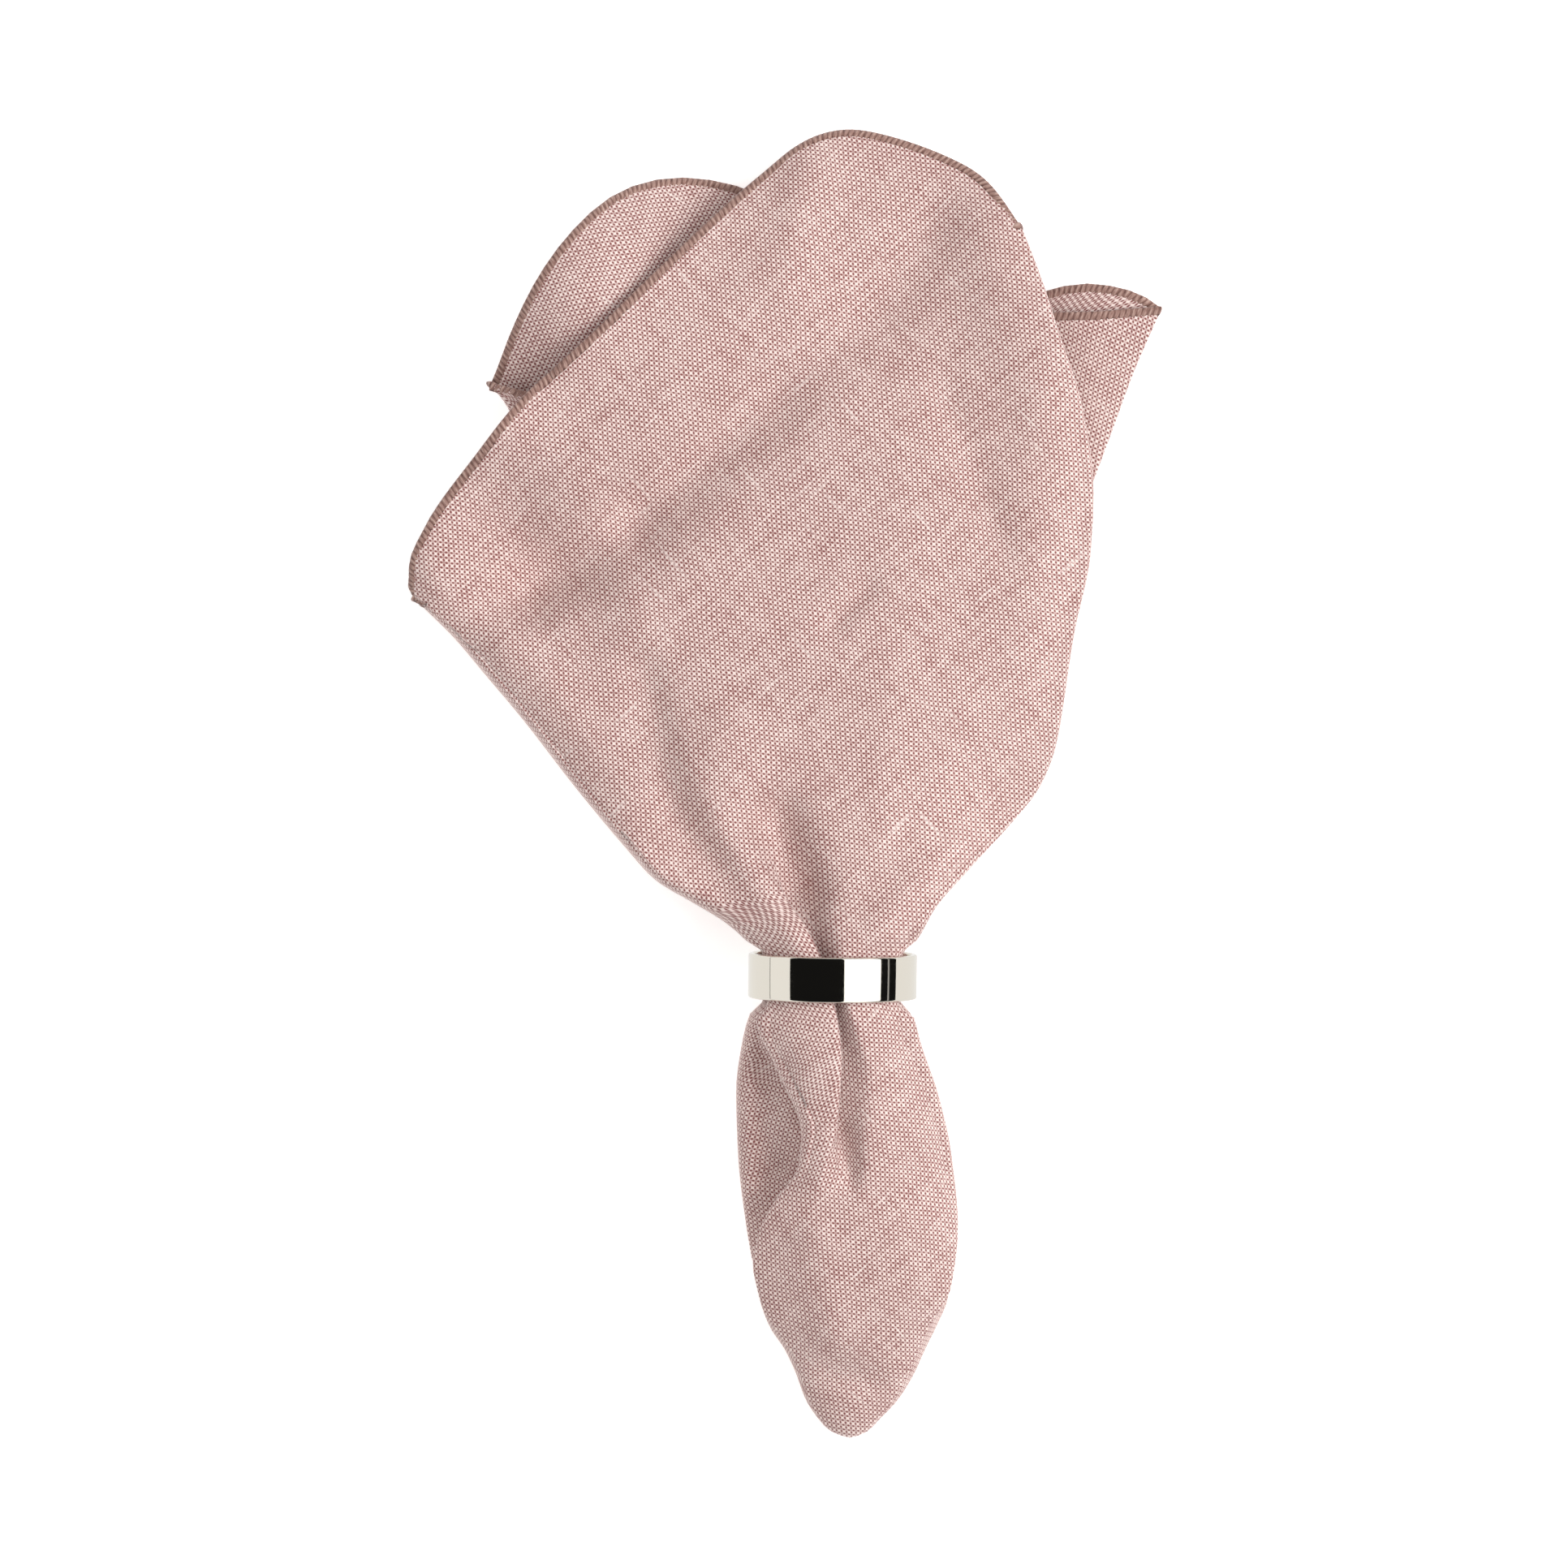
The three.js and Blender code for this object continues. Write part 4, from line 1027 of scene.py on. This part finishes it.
class StageSettings(bpy.types.PropertyGroup):
    """The table, the light and the camera."""

    floor: bpy.props.FloatVectorProperty(
        name="Table colour", description="Colour of the white table", size=4, min=0, max=1,
        subtype="COLOR", default=linear("F7F6F5"),
    )
    glow: bpy.props.FloatProperty(
        name="Table glow", description="Light that comes up through the table", default=0.5
    )
    distance: bpy.props.FloatProperty(
        name="Camera distance", description="From the lens to the napkin", default=1.5, unit="LENGTH"
    )
    tilt: bpy.props.FloatProperty(
        name="Camera tilt", description="How far the view leans from straight down", unit="ROTATION",
        default=math.radians(1.6),
    )
    span: bpy.props.FloatProperty(
        name="Picture width", description="Width of the view at the napkin", default=0.3723, unit="LENGTH"
    )


class NAPKIN_OT_linen(bpy.types.Operator):
    """Adds the folded linen napkin as a thin closed sheet."""

    bl_idname = "napkin.linen"
    bl_label = "Linen napkin"

    def execute(self, context):
        settings = context.scene.napkin_cloth
        grid, flat, tip = napkin_surface()
        normals = normals_of(grid, tip)
        half = settings.thickness / MM / 2
        row_count, column_count = grid.shape[:2]
        flat_uv = flat / SIDE + 0.5
        points, uv = [], []
        for side in (half, -half):
            points += [(grid + normals * side).reshape(-1, 3), tip[None, :] - [0, side, 0]]
            uv += [flat_uv.reshape(-1, 2), np.full((1, 2), 0.5)]
        layer = row_count * column_count + 1
        faces = []
        columns = np.arange(column_count)
        following = (columns + 1) % column_count
        for side in (0, 1):
            start = side * layer
            quads = loop_faces(row_count, column_count) + start
            faces += (quads[:, ::-1] if side else quads).tolist()
            pole = np.full(column_count, start + layer - 1)
            cap = np.stack([pole, following + start, columns + start], axis=-1)
            faces += (cap[:, ::-1] if side else cap).tolist()
        last = (row_count - 1) * column_count
        edge = [last + columns, last + following, last + layer + following, last + layer + columns]
        faces += np.stack(edge, axis=-1).tolist()
        linen = woven_linen(settings)
        piece = add_mesh("linen_napkin", np.concatenate(points), faces, linen, np.concatenate(uv))
        recalculated(piece)
        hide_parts("napkin")
        return {"FINISHED"}


def recalculated(piece):
    """Turns the faces of a closed mesh outwards."""
    work = bmesh.new()
    work.from_mesh(piece.data)
    bmesh.ops.recalc_face_normals(work, faces=work.faces)
    work.to_mesh(piece.data)
    work.free()


def resampled(path, spacing, *others):
    """A closed path and what goes with it, at equal distances along the path."""
    closed = np.concatenate([path, path[:1]])
    along = np.concatenate([[0], np.cumsum(np.linalg.norm(np.diff(closed, axis=0), axis=1))])
    count = int(round(along[-1] / spacing))
    at = np.arange(count) * along[-1] / count

    def read(values):
        values = np.concatenate([values, values[:1]])
        return np.stack([np.interp(at, along, values[:, k]) for k in range(values.shape[1])], axis=1)

    return [read(values) for values in (path, *others)], at, along[-1]


def unit(v):
    """Vectors at length one."""
    return v / np.maximum(1e-9, np.linalg.norm(v, axis=-1, keepdims=True))


class NAPKIN_OT_edge(bpy.types.Operator):
    """Adds the overlocked edge: a flattened tube along the napkin's edge, with a ridge for each
    stitch that runs slantwise over the edge."""

    bl_idname = "napkin.edge"
    bl_label = "Overlocked edge"

    def execute(self, context):
        settings = context.scene.napkin_edge
        grid, flat, tip = napkin_surface()
        normals = normals_of(grid, tip)
        # Rows to a stitch, points round the tube, the cloth inside it, and the ridges' lean, depth and
        # swelling sideways.
        per_stitch, around = 6, 10
        inside, lean, deep, swell = 0.3, 0.32, 0.45, 0.1
        stitch = settings.stitch / MM
        (path, inner, normal), at, length = resampled(grid[-1], stitch / per_stitch, grid[-3], normals[-1])
        tangent = unit(np.roll(path, -1, axis=0) - np.roll(path, 1, axis=0))
        inward = inner - path
        inward = unit(inward - tangent * np.sum(inward * tangent, axis=1, keepdims=True))
        out = np.cross(tangent, inward)
        normal = unit(out) * np.sign(np.sum(out * normal, axis=1, keepdims=True))
        angle = np.arange(around) * 2 * math.pi / around
        half_width = settings.width / MM / 2
        half_height = settings.height / MM / 2
        a = half_width * np.cos(angle)
        slant = at[:, None] / stitch + (lean * np.cos(angle) * np.sign(np.sin(angle) + 1e-6))[None, :]
        ridge = (1 - deep) + deep * np.abs(np.sin(math.pi * slant)) ** 0.7
        inset = (half_width - inside) + a[None, :] * mix(1 - swell, 1, ridge)
        rise = half_height * np.sin(angle)[None, :] * ridge
        points = path[:, None] + inward[:, None] * inset[..., None] + normal[:, None] * rise[..., None]
        round_share = np.broadcast_to(angle[None, :] / 2 / math.pi, rise.shape)
        uv = np.stack([slant, round_share], axis=-1) / STITCHES_IN_UV
        quads = loop_faces(len(path), around, closed=True).tolist()
        piece = add_mesh("overlock_edge", points, quads, overlock_thread(settings), uv)
        recalculated(piece)
        return {"FINISHED"}


class NAPKIN_OT_ring(bpy.types.Operator):
    """Adds the ring: the section of a thin strip with rounded edges, turned round the ring's axis."""

    bl_idname = "napkin.ring"
    bl_label = "Napkin ring"

    def execute(self, context):
        settings = context.scene.napkin_ring
        outer = settings.diameter / MM / 2
        wall, width, edge = settings.wall / MM, settings.width / MM, settings.edge / MM
        quarter = np.radians(np.arange(0, 91, 15))
        section = []
        corners = [(1, 1, 0), (-1, 1, 90), (-1, -1, 180), (1, -1, 270)]
        for out, side, start in corners:
            angle = quarter + math.radians(start)
            radius = (outer - edge) if out > 0 else (outer - wall + edge)
            across = side * (width / 2 - edge) + edge * np.sin(angle)
            section.append(np.stack([radius + edge * np.cos(angle), across], axis=1))
        section = np.concatenate(section)
        turns = 320
        angle = np.arange(turns) * 2 * math.pi / turns
        points = np.stack(
            [
                section[None, :, 0] * np.sin(angle)[:, None],
                np.broadcast_to(section[None, :, 1], (turns, len(section))),
                section[None, :, 0] * np.cos(angle)[:, None],
            ],
            axis=-1,
        )
        turn = settings.turn
        x = points[..., 0] * math.cos(turn) - points[..., 1] * math.sin(turn)
        y = points[..., 0] * math.sin(turn) + points[..., 1] * math.cos(turn)
        points = np.stack([x, y, points[..., 2] + outer], axis=-1)
        quads = loop_faces(turns, len(section), closed=True).tolist()
        piece = add_mesh("ring_band", points, quads, polished_steel(settings))
        recalculated(piece)
        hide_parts("ring")
        return {"FINISHED"}


def seen_in_mirror(card):
    """Leaves a card of the studio visible to the ring's mirror alone."""
    card.visible_camera = False
    card.visible_diffuse = False
    card.visible_shadow = False
    card.visible_transmission = False


def curved_panel(name, start, end, material):
    """A studio panel round the ring's axis, from one angle to another, seen only in the ring."""
    radius, depth, middle, steps = 320, 700, 20, 24
    angle = np.radians(np.linspace(start, end, steps))
    along = np.array([-depth, depth / 2])
    points = np.stack(
        [
            np.broadcast_to(np.sin(angle)[:, None] * radius, (steps, 2)),
            np.broadcast_to(along[None, :], (steps, 2)),
            np.broadcast_to(np.cos(angle)[:, None] * radius + middle, (steps, 2)),
        ],
        axis=-1,
    )
    quads = [(2 * i, 2 * i + 1, 2 * i + 3, 2 * i + 2) for i in range(steps - 1)]
    mesh = bpy.data.meshes.new(name)
    mesh.from_pydata((points.reshape(-1, 3) * MM + RING_AT).tolist(), [], quads)
    mesh.materials.append(material)
    panel = bpy.data.objects.new(name, mesh)
    bpy.context.scene.collection.objects.link(panel)
    seen_in_mirror(panel)


def table_card(material):
    """What the ring mirrors of the table: a card just over it, seen only in the ring."""
    bpy.ops.mesh.primitive_plane_add(size=3, location=(0, 0, -0.0002))
    card = bpy.context.object
    card.name = "table_card"
    card.data.materials.append(material)
    seen_in_mirror(card)


def soft_light(name, place, size, power, target):
    """A square softbox that points at the napkin."""
    data = bpy.data.lights.new(name, "AREA")
    data.shape = "SQUARE"
    data.size = size
    data.energy = power
    light = bpy.data.objects.new(name, data)
    light.location = place
    light.rotation_euler = (target - light.location).to_track_quat("-Z", "Y").to_euler()
    light.visible_glossy = False
    bpy.context.scene.collection.objects.link(light)


class NAPKIN_OT_stage(bpy.types.Operator):
    """Adds the white table, the soft studio light and the camera."""

    bl_idname = "napkin.stage"
    bl_label = "Stage"

    def execute(self, context):
        settings = context.scene.napkin_stage
        scene = context.scene
        bpy.ops.mesh.primitive_plane_add(size=6, location=(0, 0, -0.0004))
        floor = context.object
        floor.name = "table"
        floor.data.materials.append(plain_paper("matt_paper", settings.floor, settings.glow))

        centre = Vector((0, 0, 0.015))
        soft_light("key_light", Vector((1.17, 0.12, 1.25)), 1.2, 28, centre)
        soft_light("fill_light", Vector((-0.6, 0.2, 1.5)), 1.6, 10, centre)
        scene.world = bpy.data.worlds.new("studio")
        scene.world.use_nodes = True
        background = scene.world.node_tree.nodes["Background"]
        background.inputs[0].default_value = (1, 1, 1, 1)
        background.inputs[1].default_value = 0.4
        scene.view_settings.view_transform = "Standard"

        panels = [
            ("dark_line", -93.6, -92.2, 0.3),
            ("left_panel", -92.2, -59, 0.95),
            ("dark_panel", -59, 15, 0.008),
            ("bright_panel", 15, 67, 1.5),
            ("dark_strip_1", 67, 78.5, 0.008),
            ("dark_strip_2", 81, 95, 0.008),
        ]
        for name, start, end, strength in panels:
            curved_panel(name, start, end, glowing(name, strength))

        table_card(glowing("ivory_card", 0.92))

        camera = bpy.data.objects.new("camera", bpy.data.cameras.new("camera"))
        scene.collection.objects.link(camera)
        target = Vector((-0.0014, 0.0003, 0.015))
        away = Vector((0, math.sin(settings.tilt), math.cos(settings.tilt)))
        camera.location = target + settings.distance * away
        camera.rotation_euler = (-settings.tilt, 0, 0)
        camera.data.lens = camera.data.sensor_width * settings.distance / settings.span
        camera.data.clip_start = 0.05
        scene.camera = camera
        return {"FINISHED"}


class NAPKIN_PT_panel(bpy.types.Panel):
    """Lists the napkin's parts in the sidebar."""

    bl_label = "Napkin in a ring"
    bl_space_type = "VIEW_3D"
    bl_region_type = "UI"
    bl_category = "Napkin"

    def draw(self, context):
        for operator in OPERATORS:
            self.layout.operator(operator.bl_idname)


OPERATORS = [NAPKIN_OT_stage, NAPKIN_OT_linen, NAPKIN_OT_edge, NAPKIN_OT_ring]
GROUPS = {
    "napkin_cloth": NapkinSettings,
    "napkin_edge": EdgeSettings,
    "napkin_ring": RingSettings,
    "napkin_stage": StageSettings,
}


def register():
    for group in GROUPS.values():
        bpy.utils.register_class(group)
    for name, group in GROUPS.items():
        setattr(bpy.types.Scene, name, bpy.props.PointerProperty(type=group))
    for operator in OPERATORS:
        bpy.utils.register_class(operator)
    bpy.utils.register_class(NAPKIN_PT_panel)


def unregister():
    bpy.utils.unregister_class(NAPKIN_PT_panel)
    for operator in reversed(OPERATORS):
        bpy.utils.unregister_class(operator)
    for name, group in GROUPS.items():
        delattr(bpy.types.Scene, name)
        bpy.utils.unregister_class(group)


def main():
    register()
    bpy.ops.napkin.stage()
    bpy.ops.napkin.linen()
    bpy.ops.napkin.edge()
    bpy.ops.napkin.ring()


if __name__ == "__main__":
    main()
